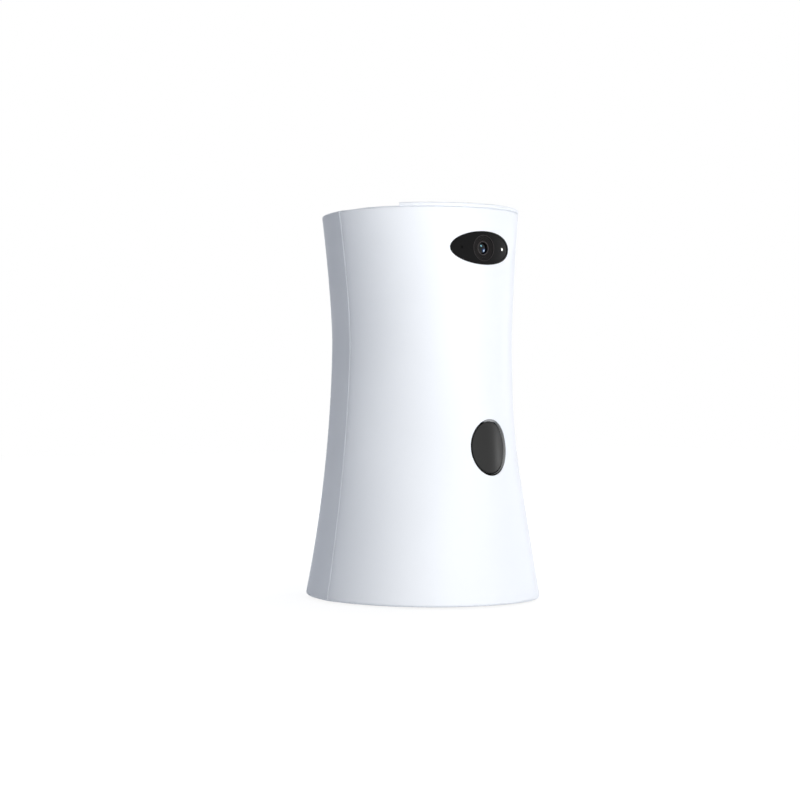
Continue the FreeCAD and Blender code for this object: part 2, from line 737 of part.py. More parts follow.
pan_gear_span = (pan_gear_bottom, pan_gear_top)
sun_bore = common(drill(s.spindle_radius, pan_gear_span, (0, 0)),
                  block(both(2 * s.spindle_radius), both(s.spindle_flat),
                        (pan_gear_bottom - OVER, pan_gear_top + OVER)))
sun_windows = [drill(s.gear_window, pan_gear_span, polar(2 * s.spindle_radius, degrees))
               for degrees in (0, 60, 120, 180, 240, 300)]
node("sun_gear", cut(spur_gear(s.pan_teeth, s.pan_module, s.pan_face, 90, (0, 0, pan_gear_bottom)),
                     sun_bore, *sun_windows))
clip_slot = block(both(s.spindle_bore / 2), (-2 * s.spindle_radius, 0),
                  (clip_bottom - OVER, clip_top + OVER))
node("retaining_ring", cut(ring(s.spindle_radius + s.clip_width, clip_radius, s.clip_height,
                                (0, 0, clip_bottom)), clip_slot))

socket_shell = block(both(s.socket_width / 2), (socket_rear - s.socket_depth, socket_rear),
                     (socket_bottom, board_bottom))
skin = s.socket_skin
socket_front = socket_rear - s.socket_depth
socket_mouth = block(both(s.socket_width / 2 - skin), (socket_front + 2 * skin, socket_rear + OVER),
                     (socket_bottom + skin, board_bottom - skin))
tongue_inset = s.socket_height / 2 - s.tongue_sheet / 2
socket_tongue = block(both(s.socket_width / 2 - tongue_inset), (socket_front + skin, socket_rear - 2 * skin),
                      (socket_bottom + tongue_inset, board_bottom - tongue_inset))
node("power_socket", fuse(cut(socket_shell, socket_mouth), socket_tongue))
power_span = (board_bottom, board_bottom + s.board_sheet)
power_holes = [drill(s.small_screw_radius, power_span, spot) for spot in power_posts]
node("power_board", cut(block(both(s.power_board_width / 2), (power_board_front, socket_rear), power_span),
                        *power_holes))
board_screws = [small_screw((*spot, power_span[1])) for spot in power_posts]
node("base_screws", group(*board_screws, *[small_screw((x, y, flange_top)) for x, y in spindle_screws]))

# ---- turntable and pan drive: turn with the tower -----------------------------------------------

pan_spot = (0, pan_distance)
boss_reach = boss_circle * math.sqrt(0.5)


def make_turntable():
    """A round plate with a centre hole, four screw holes and two holes for wires."""
    body = new_body()
    disc = sketch_on(body, "XY_Plane")
    round_outline(disc, plate_radius)
    round_outline(disc, s.spindle_radius + s.running_fit + s.bush_wall)
    pad_from(body, disc, s.plate_height)
    hole = sketch_on(body, "XY_Plane")
    round_outline(hole, s.screw_radius + s.screw_fit, (boss_reach, boss_reach))
    pocket = pad_from(body, hole, s.plate_height, "PartDesign::Pocket")
    pocket.Reversed = True
    pattern = body.newObject("PartDesign::PolarPattern", "Four")
    pattern.Originals = [pocket]
    pattern.Axis = (disc, ["N_Axis"])
    pattern.Angle = 360
    pattern.Occurrences = 4
    body.Tip = pattern
    return place(body, (0, 0, plate_bottom))


node("turntable_plate", make_turntable())
bush_inner = s.spindle_radius + s.running_fit
bush_outer = bush_inner + s.bush_wall
flange_edge = bush_outer + s.bush_flange
node("spindle_bush", turned([
    (bush_inner, plate_bottom), (bush_outer, plate_bottom), (bush_outer, plate_top),
    (flange_edge, plate_top), (flange_edge, bush_top), (bush_inner, bush_top)]))

bracket_bottom = pan_gear_top + s.bracket_gap
bracket_top = bracket_bottom + s.bracket_sheet
motor_middle = pan_distance + s.motor_offset
ear_reach = s.motor_ear_span / 2 + s.motor_ear_width / 2
bracket_half = ear_reach + s.bracket_sheet
bracket_front = motor_middle - s.bracket_depth / 2 - s.motor_ear_width / 2
bracket_rear = bracket_front + s.bracket_depth


def geared_motor(middle, spot_shaft, ear_along, level, up):
    """A flat geared stepper: can, boss round the shaft and two ears. up: the can lies above."""
    sign = 1 if up else -1
    low = level if up else level - s.motor_height
    can = rod(s.motor_radius, s.motor_height, (middle[0], middle[1], low))
    boss_low = level - s.motor_boss_height if up else level
    boss = rod(s.motor_boss, s.motor_boss_height, (spot_shaft[0], spot_shaft[1], boss_low))
    ear_low = level if up else level - s.motor_ear_height
    ear_z = (ear_low, ear_low + s.motor_ear_height)
    across = (as_size(middle[0]) - s.motor_ear_width / 2, as_size(middle[0]) + s.motor_ear_width / 2)
    across_y = (as_size(middle[1]) - s.motor_ear_width / 2, as_size(middle[1]) + s.motor_ear_width / 2)
    if ear_along == "X":
        ears = block((as_size(middle[0]) - ear_reach, as_size(middle[0]) + ear_reach), across_y, ear_z)
    else:
        ears = block(across, (as_size(middle[1]) - ear_reach, as_size(middle[1]) + ear_reach), ear_z)
    holes = []
    for side in (-1, 1):
        shift = side * s.motor_ear_span / 2
        x = middle[0] + shift if ear_along == "X" else middle[0]
        y = middle[1] if ear_along == "X" else middle[1] + shift
        holes.append(drill(s.small_screw_radius, ear_z, (x, y)))
    depth = s.motor_bore_depth + s.motor_boss_height
    bore_low = boss_low if up else level - s.motor_bore_depth
    bore = rod(s.motor_shaft + s.running_fit, depth, (spot_shaft[0], spot_shaft[1], bore_low))
    return cut(fuse(can, boss, ears), bore, *holes)


def make_pan_bracket():
    plate = block(both(bracket_half), (bracket_front, bracket_rear), (bracket_bottom, bracket_top))
    legs = [block(limits, (bracket_front, bracket_rear), (plate_top, bracket_top))
            for limits in ((ear_reach, bracket_half), (-bracket_half, -ear_reach))]
    span = (bracket_bottom, bracket_top)
    boss_hole = drill(s.motor_boss + s.motor_fit, span, pan_spot)
    screw_holes = [drill(s.small_screw_radius, span, (side * s.motor_ear_span / 2, motor_middle))
                   for side in (-1, 1)]
    return cut(fuse(plate, *legs), boss_hole, *screw_holes)


node("pan_bracket", make_pan_bracket())
node("pan_motor", geared_motor((0, motor_middle), pan_spot, "X", bracket_top, True))

pinion_gear = spur_gear(s.pan_pinion_teeth, s.pan_module, s.pan_face, gap_towards(s.pan_pinion_teeth, -90),
                        (*pan_spot, pan_gear_bottom))
shaft_gap = s.gear_gap / 2
pinion_hub = rod(s.pinion_hub, bracket_bottom - pan_gear_top - shaft_gap,
                 (*pan_spot, pan_gear_top))
pinion_shaft = rod(s.motor_shaft, bracket_top + s.motor_bore_depth - s.gear_gap - pan_gear_top,
                   (*pan_spot, pan_gear_top))
node("pan_pinion", fuse(pinion_gear, pinion_hub, pinion_shaft))

# ---- frame --------------------------------------------------------------------------------------

pillar_reach = boss_reach + s.pillar_shift
pillar_spots = [(x, y) for x in both(pillar_reach) for y in both(s.pillar_depth)]


def make_pillar(x, y):
    post = rod(s.pillar_radius, s.deck_level - plate_top, (x, y, plate_top))
    hole = rod(s.screw_radius, s.screw_length, (x, y, s.deck_level + s.deck_height - s.screw_length))
    return cut(post, hole)


node("deck_pillars", group(*[make_pillar(x, y) for x, y in pillar_spots]))


def make_deck():
    body = new_body()
    disc = sketch_on(body, "XY_Plane")
    round_outline(disc, s.deck_radius)
    round_outline(disc, s.plate_hole)
    pad_from(body, disc, s.deck_height)
    place(body, (0, 0, s.deck_level))
    return cut(body, *[drill(s.screw_radius, (s.deck_level, deck_top), spot) for spot in pillar_spots])


node("mid_deck", make_deck())


def side_plate(low, outline_holes=()):
    """An upright plate of the inner frame, lightened and drilled across its thickness."""
    body = new_body()
    outline = sketch_on(body, "YZ_Plane")
    polygon(outline, [(-s.frame_front, deck_top), (s.frame_rear, deck_top),
                      (s.frame_rear, s.hopper_level), (-s.frame_front, s.hopper_level)])
    rib = s.frame_rib
    front = rib - s.frame_front
    polygon(outline, [(front, deck_top + rib), (s.frame_rear - rib, deck_top + rib),
                      (s.frame_rear - rib, s.tray_level - rib), (front, s.tray_level - rib)])
    rear = -s.pivot_setback - rib
    polygon(outline, [(front, s.pivot_level + rib), (rear, s.pivot_level + rib),
                      (rear, s.hopper_level - rib), (front, s.hopper_level - rib)])
    for radius, centre in outline_holes:
        round_outline(outline, radius, centre)
    pad_from(body, outline, s.frame_sheet)
    return place(body, (low, 0, 0))


pivot = (-s.pivot_setback, s.pivot_level)
cam_centre = (s.cam_setback, s.cam_level)
launch_distance = s.cam_module * (s.cam_teeth + s.launch_teeth) / 2
launch_axis = (s.cam_setback + launch_distance, s.cam_level)
left_inner = -s.frame_left + s.frame_sheet
right_inner = s.frame_right - s.frame_sheet
saddle_spots = [(launch_axis[0] + s.saddle_shift, s.cam_level + side * s.saddle_reach) for side in (-1, 1)]
node("chassis_left", side_plate(-s.frame_left))
node("chassis_right", side_plate(right_inner, [(s.axle_radius, cam_centre)]))

board_rear = s.frame_rear + s.board_sheet
board_bottom_edge = deck_top + s.board_rise
board_x = (-s.frame_left - s.board_overhang, s.frame_right + s.board_overhang)
board_z = (board_bottom_edge, board_bottom_edge + s.main_board_height)
node("main_board", block(board_x, (s.frame_rear, board_rear), board_z))


def chip(x, z, width, height, depth):
    """A component on the rear of the main board, from its lower left corner."""
    x, z, width, height, depth = [number * s.chip_unit for number in (x, z, width, height, depth)]
    return block((x, x + width), (board_rear, board_rear + depth), (board_z[0] + z, board_z[0] + z + height))


node("board_components", group(
    chip(-14, 28, 17, 17, 1.6), chip(8, 30, 10, 12, 1.2), chip(-16, 12, 8, 6, 1.8), chip(14, 10, 9, 5, 5),
    chip(-2, 8, 9, 5, 5), chip(10, 20, 6, 6, 3), chip(-18, 21, 12, 4, 1), chip(-6, 49, 18, 6, 0.9)))

# ---- hopper, wheel and chute ------------------------------------------------------------------------

drop_spot = (0, -s.pocket_circle)
wheel_radius = s.hopper_bore - s.wheel_gap
wheel_bottom = hopper_floor + s.wheel_lift
wheel_top = wheel_bottom + s.wheel_height
hood_bottom = wheel_top + s.hood_gap
hood_top = hood_bottom + s.hood_sheet
hopper_top = s.shell_top - s.shell_wall
hopper_outer = s.hopper_bore + s.hopper_wall
flange_circle_hopper = hopper_outer + s.small_screw_head + s.seam_gap
hopper_screws = [polar(flange_circle_hopper, degrees) for degrees in (45, 135, 225, 315)]
wheel_motor_middle = (0, s.motor_offset)


def make_hopper_deck():
    body = new_body()
    disc = sketch_on(body, "XY_Plane")
    round_outline(disc, s.hopper_deck_radius)
    round_outline(disc, s.motor_boss + s.motor_fit)
    round_outline(disc, s.pocket_radius + s.drop_margin, drop_spot)
    pad_from(body, disc, s.hopper_deck_height)
    place(body, (0, 0, s.hopper_level))
    span = (s.hopper_level, hopper_floor)
    spots = hopper_screws + wheel_motor_screws
    return cut(body, *[drill(s.small_screw_radius, span, spot) for spot in spots])


wheel_motor_screws = [(0, wheel_motor_middle[1] + side * s.motor_ear_span / 2) for side in (-1, 1)]
node("hopper_deck", make_hopper_deck())
node("wheel_motor", geared_motor(wheel_motor_middle, (0, 0), "Y", s.hopper_level, False))


def make_hopper():
    """The treat well: a tube with a foot flange, a top flange and a hood over the drop hole."""
    foot = hopper_outer + s.bottom_flange
    lip = s.hopper_bore + s.hopper_flange + s.hopper_wall
    tube = turned([
        (s.hopper_bore, hopper_floor), (foot, hopper_floor), (foot, hopper_floor + s.hopper_wall),
        (hopper_outer, hopper_floor + s.hopper_wall), (hopper_outer, hopper_top - s.flange_sheet * 2),
        (lip, hopper_top - s.flange_sheet), (lip, hopper_top), (s.hopper_bore, hopper_top)])
    hood = common(rod(s.hopper_bore + s.hopper_wall / 2, s.hood_sheet, (0, 0, hood_bottom)),
                  block(both(2 * s.hopper_bore), (-2 * s.hopper_bore, -s.hood_edge),
                        (hood_bottom - OVER, hood_top + OVER)))
    foot_span = (hopper_floor, hopper_floor + s.hopper_wall)
    holes = [drill(s.small_screw_radius, foot_span, spot) for spot in hopper_screws]
    return cut(fuse(tube, hood), *holes)


node("hopper", make_hopper())


def make_wheel():
    """A disc with round pockets and a spigot that the motor drives."""
    body = new_body()
    disc = sketch_on(body, "XY_Plane")
    round_outline(disc, wheel_radius)
    pad_from(body, disc, s.wheel_height)
    pocket_circle = sketch_on(body, "XY_Plane")
    round_outline(pocket_circle, s.pocket_radius, drop_spot)
    pocket = pad_from(body, pocket_circle, s.wheel_height, "PartDesign::Pocket")
    pocket.Reversed = True
    pattern = body.newObject("PartDesign::PolarPattern", "Pockets")
    pattern.Originals = [pocket]
    pattern.Axis = (disc, ["N_Axis"])
    pattern.Angle = 360
    bind(pattern, "Occurrences", s.pocket_count)
    body.Tip = pattern
    place(body, (0, 0, wheel_bottom))
    spigot_end = s.hopper_level - s.motor_bore_depth + s.gear_gap
    spigot = rod(s.motor_shaft, wheel_bottom - spigot_end, (0, 0, spigot_end))
    return fuse(body, spigot)


node("dispense_wheel", make_wheel())


def make_stirrer():
    vane_bottom = hood_top + s.stirrer_gap
    vane_top = vane_bottom + s.stirrer_height
    parts = [rod(s.stirrer_hub, vane_top - wheel_top, (0, 0, wheel_top))]
    for i in range(int(s.stirrer_count.value)):
        vane = group(block((0, s.stirrer_span), both(s.stirrer_sheet / 2), (vane_bottom, vane_top)))
        vane.Placement = Placement(Vector(), Rotation(Vector(0, 0, 1), 30 + 360 * i / s.stirrer_count.value))
        parts.append(vane)
    return fuse(*parts)


node("stirrer", make_stirrer())


def make_chute():
    half_x = s.chute_width / 2
    half_y = s.chute_depth / 2
    centre = drop_spot[1]
    y = (centre - half_y - s.chute_wall, centre + half_y + s.chute_wall)
    outer = block(both(half_x + s.chute_wall), y, (s.chute_end, s.hopper_level))
    flange = block(both(half_x + 3 * s.chute_wall), y, (s.hopper_level - s.chute_wall, s.hopper_level))
    inner = block(both(half_x), (centre - half_y, centre + half_y),
                  (s.chute_end - OVER, s.hopper_level + OVER))
    return cut(fuse(outer, flange), inner)


node("treat_chute", make_chute())

# ---- launcher ----------------------------------------------------------------------------------------

launch_floor = s.tray_level + s.launch_sheet
bezel_back = s.collar_depth + s.bezel_gap
bezel_end = bezel_back + s.bezel_sheet
launch_front = Size(repr(outlet_front), outlet_front) + bezel_end + s.launch_gap

ear_outer = s.launch_width / 2 + s.launch_wall
pin_y, pin_z = pivot


def make_launch_tray():
    """An open channel from under the chute to the outlet, with ears that carry the throwing arm."""
    half = s.launch_width / 2
    y = (launch_front, s.launch_rear)
    floor = block(both(ear_outer), y, (s.tray_level, launch_floor))
    sides = ((half, ear_outer), (-ear_outer, -half))
    walls = [block(limits, y, (s.tray_level, launch_floor + s.launch_side_height)) for limits in sides]
    ears = [block(limits, (pin_y - s.ear_half, pin_y + s.ear_half), (launch_floor, pin_z + s.ear_half))
            for limits in sides]
    tab_y = (-s.launch_tab_front, -s.launch_tab_rear)
    tabs = block((left_inner, right_inner), tab_y, (s.tray_level, launch_floor))
    bore = drill(s.pivot_pin + s.running_fit, both(ear_outer), pivot, "X")
    return cut(fuse(floor, tabs, *walls, *ears), bore)


node("launch_tray", make_launch_tray())

hub_left = -s.head_width / 2
lever_left = ear_outer + s.ear_gap
lever_right = lever_left + s.tail_width
cam_left = lever_right + s.ear_gap
cam_right = cam_left + s.cam_width
roller_spot = (pin_y + s.tail_length, pin_z)


def make_flicker():
    """The throwing arm: a hub on its shaft and a flat arm with a broad head."""
    hub = rod(s.arm_hub, s.head_width, (hub_left, pin_y, pin_z), "X")
    arm_bottom = pin_z - s.arm_length
    y = (pin_y - s.arm_sheet / 2, pin_y + s.arm_sheet / 2)
    arm = block(both(s.arm_width / 2), y, (arm_bottom, pin_z))
    head = block(both(s.head_width / 2), (y[0] - s.head_step, y[1]),
                 (arm_bottom - s.head_height / 2, arm_bottom + s.head_height / 2))
    bore = drill(s.pivot_pin, both(s.head_width / 2), pivot, "X")
    return cut(fuse(hub, arm, head), bore)


def make_tail_lever():
    """The lever outside the channel; its stub carries the roller over the cam."""
    hub = rod(s.arm_hub, s.tail_width, (lever_left, pin_y, pin_z), "X")
    half = s.roller_pin + s.eye_wall
    web = block((lever_left, lever_right), (pin_y, roller_spot[0]), (pin_z - half, pin_z + half))
    eye = rod(half, s.tail_width, (lever_left, *roller_spot), "X")
    stub = rod(s.roller_pin, s.tail_width + s.ear_gap + s.cam_width, (lever_left, *roller_spot), "X")
    bore = drill(s.pivot_pin, (lever_left, lever_right), pivot, "X")
    return cut(fuse(hub, web, eye, stub), bore)


node("flicker", make_flicker())
node("tail_lever", make_tail_lever())
roller_side = s.ear_gap / 2
node("tail_roller", ring(s.roller_radius, s.roller_pin, s.cam_width - 2 * roller_side,
                         (cam_left + roller_side, *roller_spot), "X"))
shaft_start = left_inner + s.ear_gap
node("flicker_pin", rod(s.pivot_pin, lever_right - shaft_start, (shaft_start, pin_y, pin_z), "X"))
node("cam_axle", rod(s.axle_radius, s.frame_right - cam_left, (cam_left, *cam_centre), "X"))

CAM_STEPS = 30
CAM_LEAD = math.radians(12)
CAM_SLOPE_STEP = math.radians(0.5)


def roller_in_cam(turn):
    """Where the roller's centre lies as the cam sees it after a turn, in radians."""
    swing = math.radians(s.arm_swing.value) * turn / math.radians(s.cam_swing.value)
    y = pin_y.value + s.tail_length.value * math.cos(swing) - s.cam_setback.value
    z = pin_z.value + s.tail_length.value * math.sin(swing) - s.cam_level.value
    return Vector(y * math.cos(turn) + z * math.sin(turn), z * math.cos(turn) - y * math.sin(turn), 0)


def cam_point(turn):
    """A point of the cam's edge: the roller's path, moved in by its radius and a clearance."""
    along = roller_in_cam(turn + CAM_SLOPE_STEP) - roller_in_cam(turn - CAM_SLOPE_STEP)
    inward = Vector(along.y, -along.x, 0).normalize()
    if inward.dot(roller_in_cam(turn)) > 0:
        inward = -inward
    return roller_in_cam(turn) + inward * (s.roller_radius.value + s.cam_clearance.value)


def make_cam():
    """A snail cam: it lifts the roller steadily, then drops it at once."""
    full = math.radians(s.cam_swing.value)
    span = full + 2 * CAM_LEAD
    edge = [cam_point(span * i / CAM_STEPS - CAM_LEAD) for i in range(CAM_STEPS + 1)]
    curve = Part.BSplineCurve()
    curve.interpolate(edge)
    drop = Part.LineSegment(edge[-1], edge[0])
    face = Part.Face(Part.Wire([curve.toShape(), drop.toShape()]))
    return given(face.extrude(Vector(0, 0, s.cam_width.value)))


cam_solid = place(make_cam(), (cam_left, *cam_centre), AXIS_TURN["X"])
cam_bore = drill(s.axle_radius + s.running_fit, (cam_left, cam_right), cam_centre, "X")
node("snail_cam", cut(cam_solid, cam_bore))
gear_left = cam_right
cam_gear_span = (gear_left, gear_left + s.cam_face)
cam_gear_bore = drill(s.axle_radius + s.running_fit, cam_gear_span, cam_centre, "X")
cam_windows = []
for degrees in (45, 135, 225, 315):
    y, z = polar(s.cam_window_reach, degrees)
    cam_windows.append(drill(s.cam_window, cam_gear_span, (cam_centre[0] + y, cam_centre[1] + z), "X"))
node("cam_gear", cut(spur_gear(s.cam_teeth, s.cam_module, s.cam_face, 0, (gear_left, *cam_centre), "X"),
                     cam_gear_bore, *cam_windows))

saddle_left = cam_left - s.ear_gap
saddle_right = saddle_left + s.bracket_sheet
launch_pinion_gear = spur_gear(s.launch_teeth, s.cam_module, s.cam_face, gap_towards(s.launch_teeth, 180),
                               (gear_left, *launch_axis), "X")
launch_shaft_start = saddle_left - s.motor_bore_depth
launch_shaft = rod(s.launch_shaft, gear_left - launch_shaft_start, (launch_shaft_start, *launch_axis), "X")
node("launch_pinion", fuse(launch_pinion_gear, launch_shaft))

can_start = saddle_left - s.launch_motor_length
launch_can = rod(s.launch_motor_radius, s.launch_motor_length, (can_start, *launch_axis), "X")
launch_end = rod(s.launch_cap_radius, s.launch_cap, (can_start - s.launch_cap, *launch_axis), "X")
launch_bore = rod(s.launch_shaft + s.running_fit, s.motor_bore_depth + s.gear_gap + OVER,
                  (launch_shaft_start - s.gear_gap, *launch_axis), "X")
node("launch_motor", cut(fuse(launch_can, launch_end), launch_bore))


def make_saddle():
    """A plate that holds the launch motor, on two posts from the right side plate."""
    y = (launch_axis[0] - s.saddle_front, launch_axis[0] + s.saddle_rear)
    low = saddle_spots[0][1] - s.saddle_post - s.saddle_margin
    high = saddle_spots[1][1] + s.saddle_post + s.saddle_margin
    plate = block((saddle_left, saddle_right), y, (low, high))
    length = right_inner - saddle_left
    posts = [rod(s.saddle_post, length, (saddle_left, *spot), "X") for spot in saddle_spots]
    hole = drill(s.launch_shaft + s.saddle_margin, (saddle_left, saddle_right), launch_axis, "X")
    return cut(fuse(plate, *posts), hole)


node("launch_bracket", make_saddle())


COIL_STEPS = 14
WIRE_SIDES = 6


def coil(mean_radius, wire, pitch, turns, spot, axis="Z"):
    """A wire spring: a run of straight chords round a helix."""
    sections = []
    for i in range(int(turns * COIL_STEPS) + 1):
        angle = 2 * math.pi * i / COIL_STEPS
        outward = Vector(math.cos(angle), math.sin(angle), 0)
        middle = outward * mean_radius + Vector(0, 0, pitch * i / COIL_STEPS)
        ring_points = []
        for side in range(WIRE_SIDES):
            turn = 2 * math.pi * side / WIRE_SIDES
            offset = outward * math.cos(turn) + Vector(0, 0, math.sin(turn))
            ring_points.append(middle + offset * wire)
        sections.append(Part.makePolygon(ring_points + ring_points[:1]))
    return place(given(Part.makeLoft(sections, True, True)), spot, AXIS_TURN[axis])


FLICKER_TURNS = 4
FLAP_TURNS = 3
spring_wire = s.flicker_wire
spring_room = s.frame_left - s.frame_sheet - ear_outer
spring_pitch = (spring_room - 2 * spring_wire - s.ear_gap) / FLICKER_TURNS
spring_mean = s.pivot_pin + spring_wire + s.coil_gap
node("flicker_spring", coil(spring_mean.value, spring_wire.value, spring_pitch.value, FLICKER_TURNS,
                            (left_inner + spring_wire, *pivot), "X"))

# ---- treat outlet --------------------------------------------------------------------------------------

flap_plane = outlet_spot(0)
flap_turn = Rotation(Vector(1, 0, 0), -s.outlet_tilt.value)
hinge = (s.hinge_depth, s.hinge_rise)


def at_outlet(obj):
    """Puts a piece that is built in the outlet's own frame, +Y inwards from the front, in its place."""
    obj.Placement = Placement(flap_plane, flap_turn)
    return obj


def outlet_layer(outer_inset, inner_inset):
    """A curved layer of the front round the outlet, between two depths below its surface."""
    return outlet_form(outer_inset.value).cut(outlet_form(inner_inset.value))


def flap_plate():
    """The flap's oval face: it follows the tower's front and has a bevelled rim."""
    layer = outlet_layer(s.flap_recess, s.flap_recess + s.flap_sheet)
    plate = layer.common(outlet_bar(-s.flap_inset.value, THROUGH)).Solids[0]
    front_face = min(plate.Faces, key=lambda face: face.CenterOfMass.y)
    return plate.makeChamfer(s.flap_bevel.value, front_face.Edges)


def make_flap():
    """The oval flap with two knuckles behind it; the spring sits between them."""
    knuckles = []
    for start, end in ((s.knuckle_start, s.knuckle_end), (-s.knuckle_end, -s.knuckle_start)):
        knuckles.append(rod(s.flap_knuckle, end - start, (start, *hinge), "X"))
        knuckles.append(block((start, end), (s.hinge_depth - s.knuckle_root, s.hinge_depth),
                              (s.hinge_rise - s.knuckle_web, s.hinge_rise + s.knuckle_web)))
    bore = rod(s.flap_pin + s.running_fit, 2 * s.pin_reach, (-s.pin_reach, *hinge), "X")
    return cut(fuse(given(flap_plate()), at_outlet(fuse(*knuckles))), at_outlet(group(bore)))


def make_bezel():
    """The dark frame of the outlet: a lip in the shell's hole, a tube, a flange and a step for the flap."""
    lip = outlet_bar(-s.bezel_fit.value, bezel_back.value).common(outlet_form(s.bezel_recess.value))
    tube = outlet_bar((s.rebate_width - s.bezel_fit).value, bezel_back.value).common(
        outlet_form((s.rebate_depth + s.bezel_fit).value))
    flange = outlet_prism(s.outlet_collar.value, s.bezel_sheet.value, bezel_back.value)
    passage = outlet_bar(-s.bezel_lip.value, THROUGH)
    room = outlet_bar(-s.bezel_wall.value, THROUGH).common(outlet_form(s.bezel_seat.value))
    step_front = s.flap_recess + s.flap_sheet + s.bezel_gap
    step = outlet_layer(step_front, step_front + s.step_sheet).common(outlet_bar(0, THROUGH))
    step_high = Vector(-BIG / 2, -BIG, (s.outlet_level + s.step_top).value)
    step = step.cut([outlet_bar(-s.step_reach.value, THROUGH), Part.makeBox(BIG, BIG, BIG, step_high)])
    pin_hole = rod(s.flap_pin, 2 * s.pin_reach, (-s.pin_reach, *hinge), "X")
    swing_room = rod(s.hinge_room, 2 * s.hinge_reach, (-s.hinge_reach, *hinge), "X")
    frame = lip.fuse([tube, flange]).cut([passage, room]).fuse(step)
    return cut(given(frame), at_outlet(group(pin_hole)), at_outlet(group(swing_room)))


node("outlet_flap", make_flap())
node("outlet_bezel", make_bezel())
node("flap_pin", at_outlet(group(rod(s.flap_pin, 2 * s.pin_reach, (-s.pin_reach, *hinge), "X"))))
flap_mean = s.flap_pin + s.flap_wire + s.running_fit
flap_pitch = 2 * (s.flap_spring_reach - s.flap_wire - s.coil_gap) / FLAP_TURNS
flap_coil = coil(flap_mean.value, s.flap_wire.value, flap_pitch.value, FLAP_TURNS,
                 (s.flap_wire + s.coil_gap - s.flap_spring_reach, *hinge), "X")
node("flap_spring", at_outlet(group(flap_coil)))

# ---- camera ----------------------------------------------------------------------------------------------

camera_reach = s.window_half_height + s.lens_ring_radius
camera_low = (camera_level - camera_reach).value
camera_high = (camera_level + camera_reach).value


def camera_layer(outer_inset, inner_inset):
    """A curved layer of the front, between two depths below its surface."""
    outer = half_form(True, outer_inset.value, camera_low, camera_high)
    inner = half_form(True, inner_inset.value, camera_low, camera_high)
    return outer.cut(inner)


def window_bar(grow):
    spot = (0, camera_front - AHEAD, camera_level.value)
    return oval_prism(s.window_half_width.value + grow, s.window_half_height.value + grow, THROUGH, spot)


def camera_rod(radius, x=0):
    spot = Vector(x, camera_front - AHEAD, camera_level.value)
    return Part.makeCylinder(radius, THROUGH, spot, Vector(0, 1, 0))


dots = [camera_rod(s.window_dot_radius.value, side * s.window_dot_reach.value) for side in (-1, 1)]
window_back = s.window_recess + s.window_sheet
window_layer = camera_layer(s.window_recess, window_back)
glass_bar = window_bar(-s.gasket_width.value)
lens_hole = camera_rod(s.lens_ring_radius.value)
node("camera_window", given(window_layer.common(glass_bar).cut([lens_hole] + dots)))
gasket_layer = camera_layer(s.window_recess - s.gasket_proud, window_back)
node("window_gasket", given(gasket_layer.common(window_bar(0)).cut(glass_bar)))

ring_front = Size(repr(camera_front), camera_front) + s.ring_recess
lens_spot = (0, ring_front, camera_level)
lens_bore = s.lens_radius - s.lens_wall
barrel_start = s.ring_depth - s.barrel_reach
barrel_end = barrel_start + s.lens_length
ring_outer = s.lens_ring_radius
node("lens_ring", turned([
    (s.lens_radius, s.ring_depth), (s.lens_radius, 2 * s.ring_recess),
    (ring_outer - s.ring_bevel, s.ring_edge), (ring_outer - 2 * s.ring_edge, 0),
    (ring_outer - s.ring_edge, 0), (ring_outer, s.ring_edge),
    (ring_outer, s.ring_depth)], lens_spot, "Y"))
flange = ring_outer + s.lens_lip
flange_rear = s.ring_depth + s.lens_flange
chamber = barrel_end - s.sensor_chamber
node("lens_barrel", turned([
    (lens_bore, barrel_start), (s.lens_radius, barrel_start), (s.lens_radius, s.ring_depth),
    (flange, s.ring_depth), (flange, flange_rear), (s.lens_radius, flange_rear), (s.lens_radius, barrel_end),
    (s.sensor_room, barrel_end), (s.sensor_room, chamber), (lens_bore, chamber)], lens_spot, "Y"))


def make_lens():
    """The front element: a domed disc in the barrel."""
    rise = s.lens_dome.value
    radius = lens_bore.value
    start = barrel_start.value + rise + s.lens_setback.value
    end = start + s.lens_sheet.value
    ball = (radius ** 2 + rise ** 2) / (2 * rise)
    sink = ball - math.sqrt(ball ** 2 - (radius / 2) ** 2)
    shoulder = Vector(radius / 2, 0, start - rise + sink)
    cap = Part.Arc(Vector(0, 0, start - rise), shoulder, Vector(radius, 0, start)).toShape()
    side = Part.makePolygon([Vector(radius, 0, start), Vector(radius, 0, end), Vector(0, 0, end),
                             Vector(0, 0, start - rise)])
    face = Part.Face(Part.Wire([cap] + side.Edges))
    return place(given(face.revolve(Vector(), Vector(0, 0, 1), 360)), lens_spot, AXIS_TURN["Y"])


node("lens_glass", make_lens())
board_front = ring_front + barrel_end
camera_board_z = (camera_level - s.camera_board_height / 2, camera_level + s.camera_board_height / 2)
camera_board_y = (board_front, board_front + s.camera_board_sheet)
sensor_room = both(s.sensor_half)
camera_plate = block(both(s.camera_board_width / 2), camera_board_y, camera_board_z)
image_sensor = block(sensor_room, (board_front - s.sensor_sheet, board_front),
                     (camera_level - s.sensor_half, camera_level + s.sensor_half))
infrared_lamps = [rod(s.infrared_radius, s.infrared_length,
                      (side * s.infrared_reach, board_front - s.infrared_length, camera_level), "Y")
                  for side in (-1, 1)]
node("camera_board", fuse(camera_plate, image_sensor, *infrared_lamps))

dot_edge = (s.window_dot_reach + s.window_dot_radius).value
dot_start = -depth_at(dot_edge, camera_level.value, True, s.window_recess.value)
dot_length = board_front - dot_start
for name, side in (("status_light", 1), ("microphone", -1)):
    dot_spot = (side * s.window_dot_reach, dot_start, camera_level)
    node(name, rod(s.window_dot_radius, dot_length, dot_spot, "Y"))

